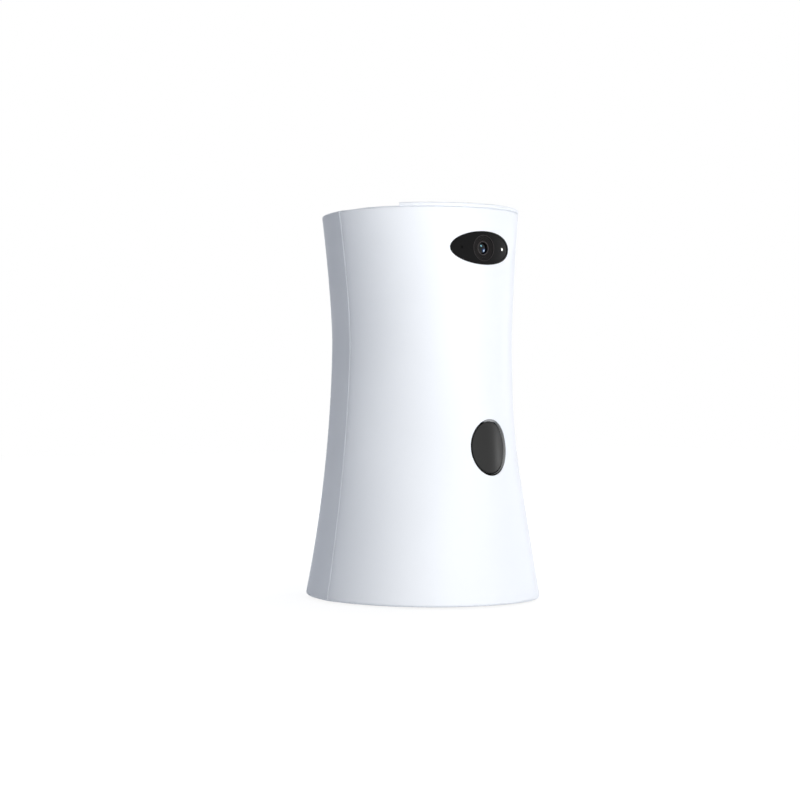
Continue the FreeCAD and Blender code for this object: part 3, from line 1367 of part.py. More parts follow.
bracket_front_face = camera_board_y[1]
bracket_back_face = bracket_front_face + s.bracket_sheet
arm_inner = s.window_half_width + s.bracket_side_gap
arm_outer = arm_inner + s.bracket_arm
back_plate = block(both(arm_outer), (bracket_front_face, bracket_back_face), camera_board_z)
bracket_arms = [block(limits, (-BIG / 4, bracket_back_face), camera_board_z)
                for limits in ((arm_inner, arm_outer), (-arm_outer, -arm_inner))]
front_room = given(front_inner)
node("camera_bracket", fuse(back_plate, *[common(arm, front_room) for arm in bracket_arms]))

# ---- speaker ------------------------------------------------------------------------------------------

speaker_wall = depth_at(s.speaker_radius.value, speaker_level.value, False, wall)
speaker_spot = (0, speaker_wall - s.speaker_gap - s.speaker_depth, speaker_level)
speaker_rim = s.speaker_radius
speaker_lip = speaker_rim - s.speaker_edge
cone_seat = s.speaker_depth - s.speaker_sheet
node("speaker_frame", turned([
    (0, -s.magnet_depth), (s.magnet_radius, -s.magnet_depth), (s.magnet_radius, 0),
    (s.magnet_radius + s.speaker_edge, 0), (speaker_lip, cone_seat - s.speaker_sheet),
    (speaker_rim, cone_seat - s.speaker_sheet), (speaker_rim, s.speaker_depth),
    (speaker_lip, s.speaker_depth), (speaker_lip, cone_seat), (s.magnet_radius, s.speaker_sheet),
    (0, s.speaker_sheet)], speaker_spot, "Y"))
node("speaker_cone", turned([
    (0, s.speaker_sheet + s.cap_rise), (s.cap_radius, s.speaker_sheet + s.cap_rise / 2),
    (s.magnet_radius, s.speaker_sheet), (speaker_lip, cone_seat), (speaker_lip, cone_seat + s.cone_sheet),
    (speaker_lip - s.speaker_edge / 2, cone_seat + s.cone_sheet), (s.magnet_radius, 2 * s.speaker_sheet),
    (s.cap_radius, 3 * s.speaker_sheet), (0, 4 * s.speaker_sheet)], speaker_spot, "Y"))

# ---- lid ------------------------------------------------------------------------------------------------


def make_lid_plate():
    """A round cap with a broad lip that runs out to the front rim."""
    low = top
    high = top + s.lid_sheet.value
    edge = s.lid_round.value
    steps = [(low, edge * 0.4), (low + edge * 0.4, 0), (high - edge, 0), (high - edge * 0.4, edge * 0.2),
             (high, edge)]
    lip = Part.makeLoft([half_section_at(top, level, inset) for level, inset in steps], True, True)
    angle = math.radians(s.lid_lip_angle.value)
    reach = BIG / 2
    corner = Vector(reach * math.sin(angle), -reach * math.cos(angle), low)
    centre = Vector(0, 0, low)
    wedge = Part.makePolygon([centre, corner, Vector(-corner.x, corner.y, low), centre])
    lip = lip.common(Part.Face(wedge).extrude(Vector(0, 0, BIG)))
    radius = s.lid_radius.value
    cap = Part.makeCylinder(radius, s.lid_sheet.value, Vector(0, 0, low))
    return cap.fuse(lip).removeSplitter()


def half_section_at(source_level, level, inset):
    """The front half section of one level, moved to another level."""
    wire = half_section(source_level, True, inset)
    wire.translate(Vector(0, 0, level - source_level))
    return wire


seal_outer = s.hopper_bore - s.lid_gap
plug_outer = seal_outer - s.seal_width
plug_bottom = s.shell_top - s.plug_depth
seal_bottom = plug_bottom + s.seal_height
plug = ring(plug_outer, plug_outer - s.plug_wall, s.plug_depth, (0, 0, plug_bottom))
bead_top = ring(seal_outer, plug_outer - s.plug_wall, s.shell_top - seal_bottom - s.seal_height,
                (0, 0, seal_bottom + s.seal_height))
node("lid_cap", fuse(given(make_lid_plate()), plug, bead_top))
node("lid_seal", ring(seal_outer, plug_outer, s.seal_height, (0, 0, seal_bottom)))

# ---- fasteners of the tower ------------------------------------------------------------------------------

UPSIDE_DOWN = Rotation(Vector(1, 0, 0), 180)
shell_spots = [(x, y) for x in both(boss_reach) for y in both(boss_reach)]
node("frame_screws", group(
    *[screw((x, y, plate_bottom), UPSIDE_DOWN) for x, y in shell_spots],
    *[screw((x, y, deck_top)) for x, y in pillar_spots]))
node("small_screws", group(
    *[small_screw((side * s.motor_ear_span / 2, motor_middle, bracket_top + s.motor_ear_height))
      for side in (-1, 1)],
    *[small_screw((x, y, hopper_floor + s.hopper_wall)) for x, y in hopper_screws]))

# ---- check and export -------------------------------------------------------------------------------------

doc.recompute()
for obj in doc.Objects:
    if "Invalid" in obj.State or "Error" in obj.State:
        raise RuntimeError(f"{obj.Label} failed: {obj.State}")
os.makedirs("parts", exist_ok=True)
for name, obj in nodes.items():
    if obj.Shape.isNull() or not obj.Shape.isValid():
        raise RuntimeError(f"{name} has no valid shape")
for name, obj in nodes.items():
    obj.Shape.exportStep(f"parts/{name}.step")
print(f"{len(nodes)} parts written")
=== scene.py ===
"""Looks of the treat tossing pet camera, built round its CAD frame.

Sizes are in millimetres and become metres where a mesh is made. -Y is the front and +Z is up.
"""

import math

import bmesh
import bpy
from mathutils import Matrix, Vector


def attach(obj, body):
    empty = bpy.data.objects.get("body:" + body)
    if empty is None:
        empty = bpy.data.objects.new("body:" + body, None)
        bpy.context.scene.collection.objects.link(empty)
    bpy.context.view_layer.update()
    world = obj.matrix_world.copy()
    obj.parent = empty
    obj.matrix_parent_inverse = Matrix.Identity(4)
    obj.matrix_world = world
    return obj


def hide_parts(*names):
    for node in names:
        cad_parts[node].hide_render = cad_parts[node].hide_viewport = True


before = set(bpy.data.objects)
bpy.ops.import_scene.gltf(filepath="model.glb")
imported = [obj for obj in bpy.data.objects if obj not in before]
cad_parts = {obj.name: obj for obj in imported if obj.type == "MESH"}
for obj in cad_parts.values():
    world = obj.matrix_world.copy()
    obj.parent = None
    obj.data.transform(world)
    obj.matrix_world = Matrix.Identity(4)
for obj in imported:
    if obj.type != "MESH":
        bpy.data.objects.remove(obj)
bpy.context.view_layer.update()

MM = 0.001

# ---- the tower's form ----------------------------------------------------------------------------

BOTTOM, TOP, WALL = 1.2, 222.6, 2.5
FOOT_ROUND, RIM_ROUND = 2.0, 1.1
SEAM_GAP, SEAM_ROUND = 0.3, 0.22
MOUTH_RADIUS = 38.5
# Half width, front depth and rear depth of the waist, the foot and the rim.
WAIST_LEVEL = 150
WAIST = (47.9, 63.2, 56.4)
FOOT = (64.0, 76.6, 68.7)
RIM = (55.6, 62.6, 58.2)
# Each measure grows by a power of the distance from the waist.
FLARES_DOWN = (1.64, 1.5, 2.55)
FLARES_UP = (1.46, 1.46, 1.46)
# The front swells a little round the outlet.
NOSE_LEVEL, NOSE_REACH, NOSE_BULGE, NOSE_SHARPNESS = 95, 42, 2, 0.19
# How full a half section is between its seam and its middle, and how far the rear wall slants in.
FOOT_FULLNESS, RIM_FULLNESS, REAR_FULLNESS = 0.83, 0.74, 1.0
REAR_LEAN = 10
TINY = 1e-6


def nose_bump(level):
    return math.exp(-((level - NOSE_LEVEL) / NOSE_REACH) ** 2)


def section(level):
    """Half width, front depth and rear depth of the tower at a level."""
    if level <= WAIST_LEVEL:
        share = (WAIST_LEVEL - level) / (WAIST_LEVEL - BOTTOM)
        ends, powers = FOOT, FLARES_DOWN
    else:
        share = (level - WAIST_LEVEL) / (TOP - WAIST_LEVEL)
        ends, powers = RIM, FLARES_UP
    half, front, rear = [waist + (end - waist) * share ** power
                         for waist, end, power in zip(WAIST, ends, powers)]
    return half, front + NOSE_BULGE * nose_bump(level), rear


def depth_at(x, level, front, inset=0.0):
    """How far the surface lies from the seam plane at x: a conic arc from the seam to the middle."""
    half, front_depth, rear_depth = section(level)
    reach = half - inset
    if front:
        depth = front_depth - inset
        fullness = FOOT_FULLNESS + (RIM_FULLNESS - FOOT_FULLNESS) * level / TOP
        fullness -= NOSE_SHARPNESS * nose_bump(level)
        lean = 1.0
    else:
        depth = rear_depth - inset
        fullness = REAR_FULLNESS
        lean = 1 - REAR_LEAN / reach
    share = min(abs(x) / reach, 1.0)
    if share < TINY:
        return depth
    turn = fullness * (share - lean)
    along = (math.sqrt(turn * turn + share * (1 - share)) - turn) / share
    middle = 2 * fullness * along
    return depth * (middle + along * along) / (1 + middle + along * along)


def on_form(x, level, front, inset=0.0):
    y = depth_at(x, level, front, inset)
    return Vector((x, -y if front else y, level))


# ---- materials -----------------------------------------------------------------------------------

# A mould's grain is really about 0.05 mm; it is drawn coarser so that it still shows close up.
MOULD_GRAIN, MOULD_DEPTH = 0.12, 0.01
# Gloss and tone drift slowly over a moulding, as the melt cooled at different rates.
TONE_PATCH, GLOSS_DRIFT = 22.2, 0.04
TURNED_GRAIN, TURNED_DEPTH = 0.4, 0.01
# Width of a row of copper tracks, and the row height of Blender's brick pattern.
TRACK_ROW, BRICK_ROW = 0.96, 0.25


def linear(code):
    """An sRGB colour such as "f4f5f7" as the linear values that shaders take."""
    parts = [int(code[i:i + 2], 16) / 255 for i in (0, 2, 4)]
    return [c / 12.92 if c <= 0.04045 else ((c + 0.055) / 1.055) ** 2.4 for c in parts] + [1.0]


def add(tree, kind, inputs=None, **facts):
    """Adds a node; inputs holds plain values, or sockets to link from."""
    made = tree.nodes.new(kind)
    for key, value in facts.items():
        setattr(made, key, value)
    for key, value in (inputs or {}).items():
        if isinstance(value, bpy.types.NodeSocket):
            tree.links.new(value, made.inputs[key])
        else:
            made.inputs[key].default_value = value
    return made


def new_material(name):
    material = bpy.data.materials.new(name)
    material.use_nodes = True
    tree = material.node_tree
    tree.nodes.clear()
    return material, tree, tree.nodes.new("ShaderNodeOutputMaterial")


def moulded(name, code, roughness=0.45, grain=MOULD_GRAIN, depth=MOULD_DEPTH, shift=0.02, **extra):
    """A moulded surface: a fine eroded grain, with a slow change of gloss and of tone."""
    material, tree, output = new_material(name)
    place = add(tree, "ShaderNodeTexCoord").outputs["Object"]
    fine = add(tree, "ShaderNodeTexNoise", {"Vector": place, "Scale": 1 / (grain * MM), "Detail": 2.0})
    slow = add(tree, "ShaderNodeTexNoise", {"Vector": place, "Scale": 1 / (TONE_PATCH * MM), "Detail": 3.0})
    gloss = add(tree, "ShaderNodeMapRange", {"Value": slow.outputs["Fac"], "From Min": 0.3, "From Max": 0.7,
                                             "To Min": roughness - GLOSS_DRIFT,
                                             "To Max": roughness + GLOSS_DRIFT})
    colour = linear(code)
    darker = [c * (1 - shift) for c in colour[:3]] + [1.0]
    tone = add(tree, "ShaderNodeMix", {"Factor": slow.outputs["Fac"], "A": darker, "B": colour},
               data_type="RGBA")
    bump = add(tree, "ShaderNodeBump", {"Height": fine.outputs["Fac"], "Strength": 0.5,
                                        "Distance": depth * MM})
    shader = add(tree, "ShaderNodeBsdfPrincipled", {
        "Base Color": tone.outputs["Result"], "Roughness": gloss.outputs["Result"],
        "Normal": bump.outputs["Normal"], **extra})
    tree.links.new(shader.outputs["BSDF"], output.inputs["Surface"])
    return material


def metal(name, code, roughness):
    """Bright metal with a fine turned or drawn grain."""
    material, tree, output = new_material(name)
    place = add(tree, "ShaderNodeTexCoord").outputs["Object"]
    grit = add(tree, "ShaderNodeTexNoise", {"Vector": place, "Scale": 1 / (TURNED_GRAIN * MM),
                                            "Detail": 3.0})
    gloss = add(tree, "ShaderNodeMapRange", {"Value": grit.outputs["Fac"], "To Min": roughness - 0.08,
                                             "To Max": roughness + 0.1})
    bump = add(tree, "ShaderNodeBump", {"Height": grit.outputs["Fac"], "Strength": 0.3,
                                        "Distance": TURNED_DEPTH * MM})
    shader = add(tree, "ShaderNodeBsdfPrincipled", {
        "Base Color": linear(code), "Metallic": 1.0, "Roughness": gloss.outputs["Result"],
        "Normal": bump.outputs["Normal"]})
    tree.links.new(shader.outputs["BSDF"], output.inputs["Surface"])
    return material


def circuit_board(name, code, run_code, edge_code):
    """Solder mask over copper tracks: faint runs under the lacquer."""
    material, tree, output = new_material(name)
    place = add(tree, "ShaderNodeTexCoord").outputs["Object"]
    runs = add(tree, "ShaderNodeTexBrick", {"Vector": place, "Scale": BRICK_ROW / (TRACK_ROW * MM),
                                            "Mortar Size": 0.03, "Color1": linear(code),
                                            "Color2": linear(run_code), "Mortar": linear(edge_code)})
    shader = add(tree, "ShaderNodeBsdfPrincipled", {"Base Color": runs.outputs["Color"], "Roughness": 0.35})
    tree.links.new(shader.outputs["BSDF"], output.inputs["Surface"])
    return material


# Colour, place (across, up) from the lens axis and reach of each patch of painted reflection: the cyan and
# blue-white glints of the coated lens, painted into the glass's colour.
PAINTED_REFLECTION_PATCHES = (("0f4a60", (-0.9, 1.2), 1.1), ("a8ecf8", (-1.0, 1.3), 0.6),
                   ("15569a", (0.9, -1.2), 1.5), ("e2f4ff", (1.0, -1.4), 0.8))


def glass_with_painted_reflections(name, level):
    """Coated optical glass: nearly black, with painted reflections as soft cyan and blue patches round the
    lens axis.
    """
    material, tree, output = new_material(name)
    place = add(tree, "ShaderNodeTexCoord").outputs["Object"]
    flat = add(tree, "ShaderNodeVectorMath", {0: place, 1: (1.0, 0.0, 1.0)}, operation="MULTIPLY")
    colour = linear("050608")
    # Each patch is a painted reflection, mixed into the glass's base colour.
    for code, (across, up), reach in PAINTED_REFLECTION_PATCHES:
        spot = (across * MM, 0.0, (level + up) * MM)
        away = add(tree, "ShaderNodeVectorMath", {0: flat.outputs["Vector"], 1: spot}, operation="DISTANCE")
        share = add(tree, "ShaderNodeMapRange", {"Value": away.outputs["Value"], "From Min": 0.0,
                                                 "From Max": reach * MM, "To Min": 1.0, "To Max": 0.0},
                    interpolation_type="SMOOTHSTEP")
        colour = add(tree, "ShaderNodeMix", {"Factor": share.outputs["Result"], "A": colour,
                                             "B": linear(code)}, data_type="RGBA").outputs["Result"]
    shader = add(tree, "ShaderNodeBsdfPrincipled", {"Base Color": colour, "Roughness": 0.08,
                                                    "Specular IOR Level": 0.3})
    tree.links.new(shader.outputs["BSDF"], output.inputs["Surface"])
    return material


# White ABS from an eroded mould: a wide soft sheen, a little cool, and no sharp reflection.
satin_abs = moulded("satin_white_abs", "eff2f8", roughness=0.46, **{"Specular IOR Level": 0.4,
                                                                    "Specular Tint": linear("dde8fb")})
# Charcoal ABS, finely moulded: a dull gleam along the flap's edge.
charcoal_abs = moulded("charcoal_abs", "232323", roughness=0.34, shift=0.06, **{"Specular IOR Level": 0.3})
# Matt black ABS, which soaks up light: the bezel's ring and the gasket read as shadow.
black_abs = moulded("matt_black_abs", "060606", **{"Specular IOR Level": 0.12})
# Tinted acrylic, polished: the window is black and smooth, with a clean weak reflection.
tinted_acrylic = moulded("tinted_acrylic", "0c0c0d", roughness=0.1, depth=0.0,
                         **{"Specular IOR Level": 0.12})
# Grey ABS with a satin polish, laid on the black bezel's slope: a painted highlight, the thin crescent where
# the slope catches the light.
painted_highlight_abs = moulded("satin_grey_abs_painted_highlight", "a6a7a9", roughness=0.3, **{"Specular IOR Level": 0.6})
# Moulded nylon of the lens: matt in the ring's dish, browner on the fine rings, brighter on the beads.
matt_nylon = moulded("matt_lens_nylon", "121112", roughness=0.5, **{"Specular IOR Level": 0.12})
fine_ring_nylon = moulded("fine_ring_nylon", "2c2827", roughness=0.4, **{"Specular IOR Level": 0.2})
bead_nylon = moulded("bead_nylon", "444041", roughness=0.3, grain=0.3, **{"Specular IOR Level": 0.25})
# Frosted acrylic of the status light: it glows white, dimly and evenly.
frosted_acrylic = moulded("frosted_acrylic", "f6f6f0", roughness=0.25, **{"Emission Color": linear("ffffff"),
                                                                          "Emission Strength": 0.6})
# Moulded rubber: soft, dull and coarser than the plastics.
moulded_rubber = moulded("moulded_rubber", "2b2c2e", roughness=0.7, grain=0.3, depth=0.03)
# Natural acetal: cream and a little waxy.
natural_acetal = moulded("natural_acetal", "d6d2c4", roughness=0.4)
grey_acetal = moulded("grey_acetal", "989fa8", roughness=0.4)
# Glass-filled nylon of the decks and the chassis: dark grey and dry.
filled_nylon = moulded("glass_filled_nylon", "3f4247", roughness=0.55)
# Smooth polypropylene of the treat well: pale, so that treats slide and the well looks clean.
smooth_polypropylene = moulded("smooth_polypropylene", "dfe1e4", roughness=0.35)
# Painted cast iron: a thick paint with a pebbled skin.
painted_iron = moulded("painted_cast_iron", "57585b", roughness=0.6, grain=0.6, depth=0.06)
# Epoxy of the chips, moulded dull.
chip_epoxy = moulded("chip_epoxy", "151517", roughness=0.5)
# Turned steel is bright; zinc plate on pressed steel and screws is duller.
turned_steel = metal("turned_steel", "c9cbce", roughness=0.25)
zinc_plate = metal("zinc_plated_steel", "b2b4b8", roughness=0.35)
solder_mask = circuit_board("green_solder_mask", "0f4d33", "14553a", "1d6b48")

LOOKS = {
    satin_abs: ["base_tray", "lid_cap"],
    black_abs: ["window_gasket", "camera_bracket", "speaker_frame", "speaker_cone", "microphone"],
    tinted_acrylic: ["camera_window", "lens_barrel"],
    frosted_acrylic: ["status_light"],
    moulded_rubber: ["foot_pad", "lid_seal"],
    natural_acetal: ["thrust_ring", "spindle_bush", "sun_gear", "pan_pinion", "cam_gear", "snail_cam",
                     "launch_pinion", "tail_roller"],
    grey_acetal: ["dispense_wheel", "stirrer", "flicker", "tail_lever"],
    filled_nylon: ["turntable_plate", "mid_deck", "hopper_deck", "chassis_left", "chassis_right",
                   "deck_pillars"],
    smooth_polypropylene: ["hopper", "treat_chute", "launch_tray"],
    painted_iron: ["ballast_plate"],
    chip_epoxy: ["board_components"],
    turned_steel: ["centre_spindle", "retaining_ring", "cam_axle", "flicker_pin", "flap_pin",
                   "flicker_spring", "flap_spring", "pan_motor", "wheel_motor", "launch_motor",
                   "power_socket"],
    zinc_plate: ["base_screws", "frame_screws", "small_screws", "pan_bracket", "launch_bracket"],
    solder_mask: ["main_board", "power_board", "camera_board"],
}
for material, names in LOOKS.items():
    for name in names:
        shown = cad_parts[name]
        shown.data.materials.clear()
        shown.data.materials.append(material)

# ---- meshes --------------------------------------------------------------------------------------

MERGE_DISTANCE, SLIVER = 0.004, 0.001
CRISP_ANGLE, SOFT_ANGLE = 35, 40


def spread(low, high, count):
    return [low + (high - low) * i / count for i in range(count + 1)]


def settle(piece, body, nodes, sharp):
    """Cleans and smooths a piece's mesh and hands the piece to its CAD body."""
    mesh = piece.data
    sheet = bmesh.new()
    sheet.from_mesh(mesh)
    bmesh.ops.remove_doubles(sheet, verts=sheet.verts, dist=MERGE_DISTANCE * MM)
    bmesh.ops.dissolve_degenerate(sheet, edges=sheet.edges, dist=SLIVER * MM)
    bmesh.ops.recalc_face_normals(sheet, faces=sheet.faces)
    sheet.to_mesh(mesh)
    sheet.free()
    mesh.polygons.foreach_set("use_smooth", [True] * len(mesh.polygons))
    mesh.set_sharp_from_angle(angle=math.radians(sharp))
    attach(piece, body)
    if nodes:
        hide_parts(*nodes)


class Grid:
    """Points and faces of one piece, collected in millimetres before it becomes a mesh."""

    def __init__(self):
        self.points = []
        self.faces = []

    def line(self, points):
        start = len(self.points)
        self.points.extend(tuple(p) for p in points)
        return list(range(start, len(self.points)))

    def bridge(self, first, second, closed=True):
        count = len(first)
        for i in range(count if closed else count - 1):
            j = (i + 1) % count
            self.faces.append((first[i], first[j], second[j], second[i]))

    def rings(self, rings):
        """Joins closed lines of points one after another; returns the first and the last."""
        lines = [self.line(ring) for ring in rings]
        for first, second in zip(lines, lines[1:]):
            self.bridge(first, second)
        return lines[0], lines[-1]

    def cap(self, line, centre):
        """Closes a line of points with a fan round a point in its middle."""
        middle, = self.line([centre])
        for i, point in enumerate(line):
            self.faces.append((point, line[(i + 1) % len(line)], middle))

    def piece(self, name, material, body, slot, nodes=(), sharp=CRISP_ANGLE):
        """The finished piece: it rides on a CAD body and stands for CAD nodes."""
        mesh = bpy.data.meshes.new(name)
        mesh.from_pydata([Vector(p) * MM for p in self.points], [], self.faces)
        mesh.materials.append(material)
        piece = bpy.data.objects.new(name, mesh)
        bpy.context.scene.collection.objects.link(piece)
        settle(piece, body, nodes, sharp)


# ---- shells --------------------------------------------------------------------------------------

ROUND_STEPS, SEAM_STEPS = 5, 4
INNER_EDGE = 0.01
# Rounds of the aim at the surface, and rings of faces between a patch's edge and its hole.
AIM_STEPS, OUTER_RINGS, INNER_SHARES = 8, 7, (0.33, 0.67)


def quarter_round(radius):
    """(inset, rise) of a quarter round, from its flat side to its upright side."""
    turns = spread(0, math.pi / 2, ROUND_STEPS)
    return [(radius * (1 - math.sin(turn)), radius * (1 - math.cos(turn))) for turn in turns]


def seam_points(half, level, front, inset, side, edge):
    """The rounded corner of a shell at its seam, from the seam's face to the outside."""
    sign = -1 if front else 1
    points = []
    for turn in spread(math.pi / 2, 0, SEAM_STEPS):
        x = half - inset - edge + edge * math.cos(turn)
        y = SEAM_GAP / 2 + edge - edge * math.sin(turn)
        points.append((side * x, sign * y, level))
    return points if side > 0 else points[::-1]


def shell_line(front, shares, level, inset, edge=SEAM_ROUND):
    """One level of a half shell, from the seam at +X to the seam at -X."""
    half = section(level)[0]
    least = SEAM_GAP / 2 + edge
    middle = []
    for share in shares:
        x = (half - inset) * share
        y = max(depth_at(x, level, front, inset), least)
        middle.append((x, -y if front else y, level))
    return (seam_points(half, level, front, inset, 1, edge) + middle
            + seam_points(half, level, front, inset, -1, edge))


def mouth_line(outer, level):
    """The round mouth of the top wall, point for point beside an outer line."""
    scales = [MOUTH_RADIUS / math.hypot(x, y) for x, y, _ in outer]
    return [(x * scale, y * scale, level) for (x, y, _), scale in zip(outer, scales)]


class Bar:
    """An oval bar that cuts the front: a level, half sizes and a downward tilt."""

    def __init__(self, level, half_width, half_height, tilt=0.0):
        self.level = level
        self.half_width = half_width
        self.half_height = half_height
        self.tilt = math.radians(tilt)
        self.start = -section(level)[1]

    def at(self, u, v, s):
        """A point of the bar: across, up and along it from the front surface."""
        y = self.start + v * math.sin(self.tilt) + s * math.cos(self.tilt)
        return Vector((u, y, self.level + v * math.cos(self.tilt) - s * math.sin(self.tilt)))

    def on_surface(self, u, v, inset=0.0, sink=0.0):
        """Where a line of the bar meets the form at a depth below the surface, and a little further."""
        s = 0.0
        for _ in range(AIM_STEPS):
            point = self.at(u, v, s)
            s += (-depth_at(u, point.z, True, inset) - point.y) / math.cos(self.tilt)
        return self.at(u, v, s + sink)

    def oval(self, angle, grow=0.0):
        return (self.half_width + grow) * math.cos(angle), (self.half_height + grow) * math.sin(angle)

    def rim(self, angles, grow=0.0, inset=0.0, sink=0.0):
        return [self.on_surface(*self.oval(angle, grow), inset, sink) for angle in angles]

    def slice(self, angles, grow, s):
        return [self.at(*self.oval(angle, grow), s) for angle in angles]


def cells_round(rows, columns):
    """Row and column of each point round a rectangle of a table, in order."""
    (low, high), (start, end) = rows, columns
    step = 1 if high > low else -1
    loop = [(low, c) for c in range(start, end)] + [(r, end) for r in range(low, high, step)]
    return loop + [(high, c) for c in range(end, start, -1)] + [(r, start) for r in range(high, low, -step)]


def nearest(values, goal):
    return min(range(len(values)), key=lambda i: abs(values[i] - goal))


def between(first, second, share, inset):
    """A line of points on the form, part of the way from one line to another."""
    points = []
    for start, goal in zip(first, second):
        x = start[0] + (goal[0] - start[0]) * share
        z = start[2] + (goal[2] - start[2]) * share
        points.append(on_form(x, z, True, inset))
    return points


def oval_hole(grid, bar, outer_edge, inner_edge, edge_round, steps):
    """An oval hole through the front shell, from a rectangle of its outside to one of its inside.

    Each step of the hole's wall is (grow, inset) below the surface or (grow, None, distance along).
    """
    corners = [grid.points[i] for i in outer_edge]
    angles = [math.atan2((z - bar.level) / bar.half_height, x / bar.half_width) for x, _, z in corners]
    rim = bar.rim(angles, edge_round)
    rings = [between(corners, rim, share, 0.0) for share in spread(0, 1, OUTER_RINGS)[1:-1]]
    rings += [bar.rim(angles, grow, 0.0, sink) for grow, sink in quarter_round(edge_round)]
    rings += [bar.slice(angles, grow, *along) if along else bar.rim(angles, grow, inset)
              for grow, inset, *along in steps]
    back = bar.rim(angles, steps[-1][0], WALL)
    inner_corners = [grid.points[i] for i in inner_edge]
    rings += [back] + [between(back, inner_corners, share, WALL) for share in INNER_SHARES]
    first, last = grid.rings(rings)
    grid.bridge(outer_edge, first)
    grid.bridge(last, inner_edge)


def half_shell(front, levels, shares, holes=(), slots=()):
    """A half shell as one closed wall: foot, outside, rim, mouth and inside.

    A hole is (bar, low, high, half width, edge round, steps) and a slot is (low, high, left, right).
    """
    grid = Grid()
    lines = [shell_line(front, shares, BOTTOM, WALL, INNER_EDGE)]
    lines += [shell_line(front, shares, BOTTOM + rise, inset) for inset, rise in quarter_round(FOOT_ROUND)]
    outer_start = len(lines)
    lines += [shell_line(front, shares, level, 0.0) for level in levels]
    lines += [shell_line(front, shares, TOP - rise, inset)
              for inset, rise in reversed(quarter_round(RIM_ROUND))]
    lines += [mouth_line(lines[-1], TOP), mouth_line(lines[-1], TOP - WALL)]
    inner_start = len(lines)
    lines.append(shell_line(front, shares, TOP - WALL, WALL, INNER_EDGE))
    lines += [shell_line(front, shares, level, WALL, INNER_EDGE) for level in reversed(levels)]
    table = [grid.line(line) for line in lines]
    count = len(levels)
    last_column = len(lines[0]) - 1
    open_cells = set()

    def opened(low, high, left, right, level):
        """Takes a rectangle out of both walls and gives its outer and its inner edge."""
        rows = (nearest(levels, low), nearest(levels, high))
        xs = [x for x, _, _ in lines[outer_start + nearest(levels, level)]]
        columns = (nearest(xs, right), nearest(xs, left))
        for row in range(*rows):
            for column in range(*columns):
                open_cells.add((outer_start + row, column))
                open_cells.add((inner_start + count - row - 1, column))
        outer = cells_round((outer_start + rows[0], outer_start + rows[1]), columns)
        inner = cells_round((inner_start + count - rows[0], inner_start + count - rows[1]), columns)
        return [table[r][c] for r, c in outer], [table[r][c] for r, c in inner]

    for bar, low, high, half, edge_round, steps in holes:
        oval_hole(grid, bar, *opened(low, high, -half, half, low), edge_round, steps)
    for low, high, left, right in slots:
        grid.bridge(*opened(low, high, left, right, (low + high) / 2))
    for row in range(len(lines)):
        following = (row + 1) % len(lines)
        for column in range(last_column):
            if (row, column) not in open_cells:
                grid.faces.append((table[row][column], table[row][column + 1],
                                   table[following][column + 1], table[following][column]))
    for column in (0, last_column):
        for row in range(count - 1):
            outer, inner = outer_start + row, inner_start + count - row
            grid.faces.append((table[outer][column], table[outer + 1][column],
                               table[inner - 1][column], table[inner][column]))
        grid.faces.append(tuple(table[row][column] for row in range(outer_start + 1)))
        head = range(outer_start + count - 1, inner_start + 2)
        grid.faces.append(tuple(table[row][column] for row in head))
    return grid


OUTLET = Bar(88.6, 12.5, 15.8, tilt=4)
WINDOW = Bar(200.1, 20.9, 9.4)
# Levels and half width of the patch of wall round each hole, and the round of the hole's edge.
OUTLET_PATCH, OUTLET_ROUND = (66.6, 110.6, 18.5), 0.35
WINDOW_PATCH, WINDOW_ROUND, WINDOW_SEAT = (186.3, 213.9, 26.5), 0.25, 1.2
# Behind its edge the outlet widens to a rebate, and a collar runs back from that.
REBATE_GROW, REBATE_INSET, COLLAR_GROW, COLLAR_END = 1.2, 1.6, 2.0, 7.0

COLUMN_SPAN, COLUMN_COUNT, ROW_COUNT = (4, 176), 86, 84
COLUMNS = [math.cos(math.radians(angle)) for angle in spread(*COLUMN_SPAN, COLUMN_COUNT)]
ROWS = spread(BOTTOM + FOOT_ROUND, TOP - RIM_ROUND, ROW_COUNT)
front_levels = sorted(set(ROWS) | set(OUTLET_PATCH[:2]) | set(WINDOW_PATCH[:2]))
outlet_steps = [(0.0, REBATE_INSET), (REBATE_GROW, REBATE_INSET), (REBATE_GROW, None, COLLAR_END),
                (COLLAR_GROW, None, COLLAR_END)]
front_holes = [(OUTLET, *OUTLET_PATCH, OUTLET_ROUND, outlet_steps),
               (WINDOW, *WINDOW_PATCH, WINDOW_ROUND, [(0.0, WINDOW_SEAT)])]
half_shell(True, front_levels, COLUMNS, front_holes).piece(
    "front_cover", satin_abs, "tower", "shell_white", ["front_shell"], SOFT_ANGLE)

SPEAKER_LEVEL, SPEAKER_REACH, SPEAKER_PITCH, SPEAKER_SLOT = 176, 13.8, 4.2, 1.8
SLOTS_EACH_SIDE = 3
speaker_half = section(SPEAKER_LEVEL)[0]
slots, slot_levels, slot_shares = [], set(), set()
for place in range(-SLOTS_EACH_SIDE, SLOTS_EACH_SIDE + 1):
    middle = place * SPEAKER_PITCH
    span = math.sqrt(SPEAKER_REACH ** 2 - middle ** 2)
    left, right = middle - SPEAKER_SLOT / 2, middle + SPEAKER_SLOT / 2
    slots.append((SPEAKER_LEVEL - span, SPEAKER_LEVEL + span, left, right))
    slot_levels |= {SPEAKER_LEVEL - span, SPEAKER_LEVEL + span}
    slot_shares |= {left / speaker_half, right / speaker_half}
half_shell(False, sorted(set(ROWS) | slot_levels), sorted(set(COLUMNS) | slot_shares, reverse=True),
           slots=slots).piece("rear_cover", satin_abs, "tower", "shell_white", ["rear_shell"], SOFT_ANGLE)

# ---- outlet --------------------------------------------------------------------------------------

# Places here are (grow, inset): how far outside the outlet's oval and how deep below the surface.
OVAL_STEPS = 120
ANGLES = [math.radians(angle) for angle in spread(0, 360, OVAL_STEPS)[:-1]]
FIT = 0.05
LIP_INSET, LIP_ROUND = 0.32, 0.08
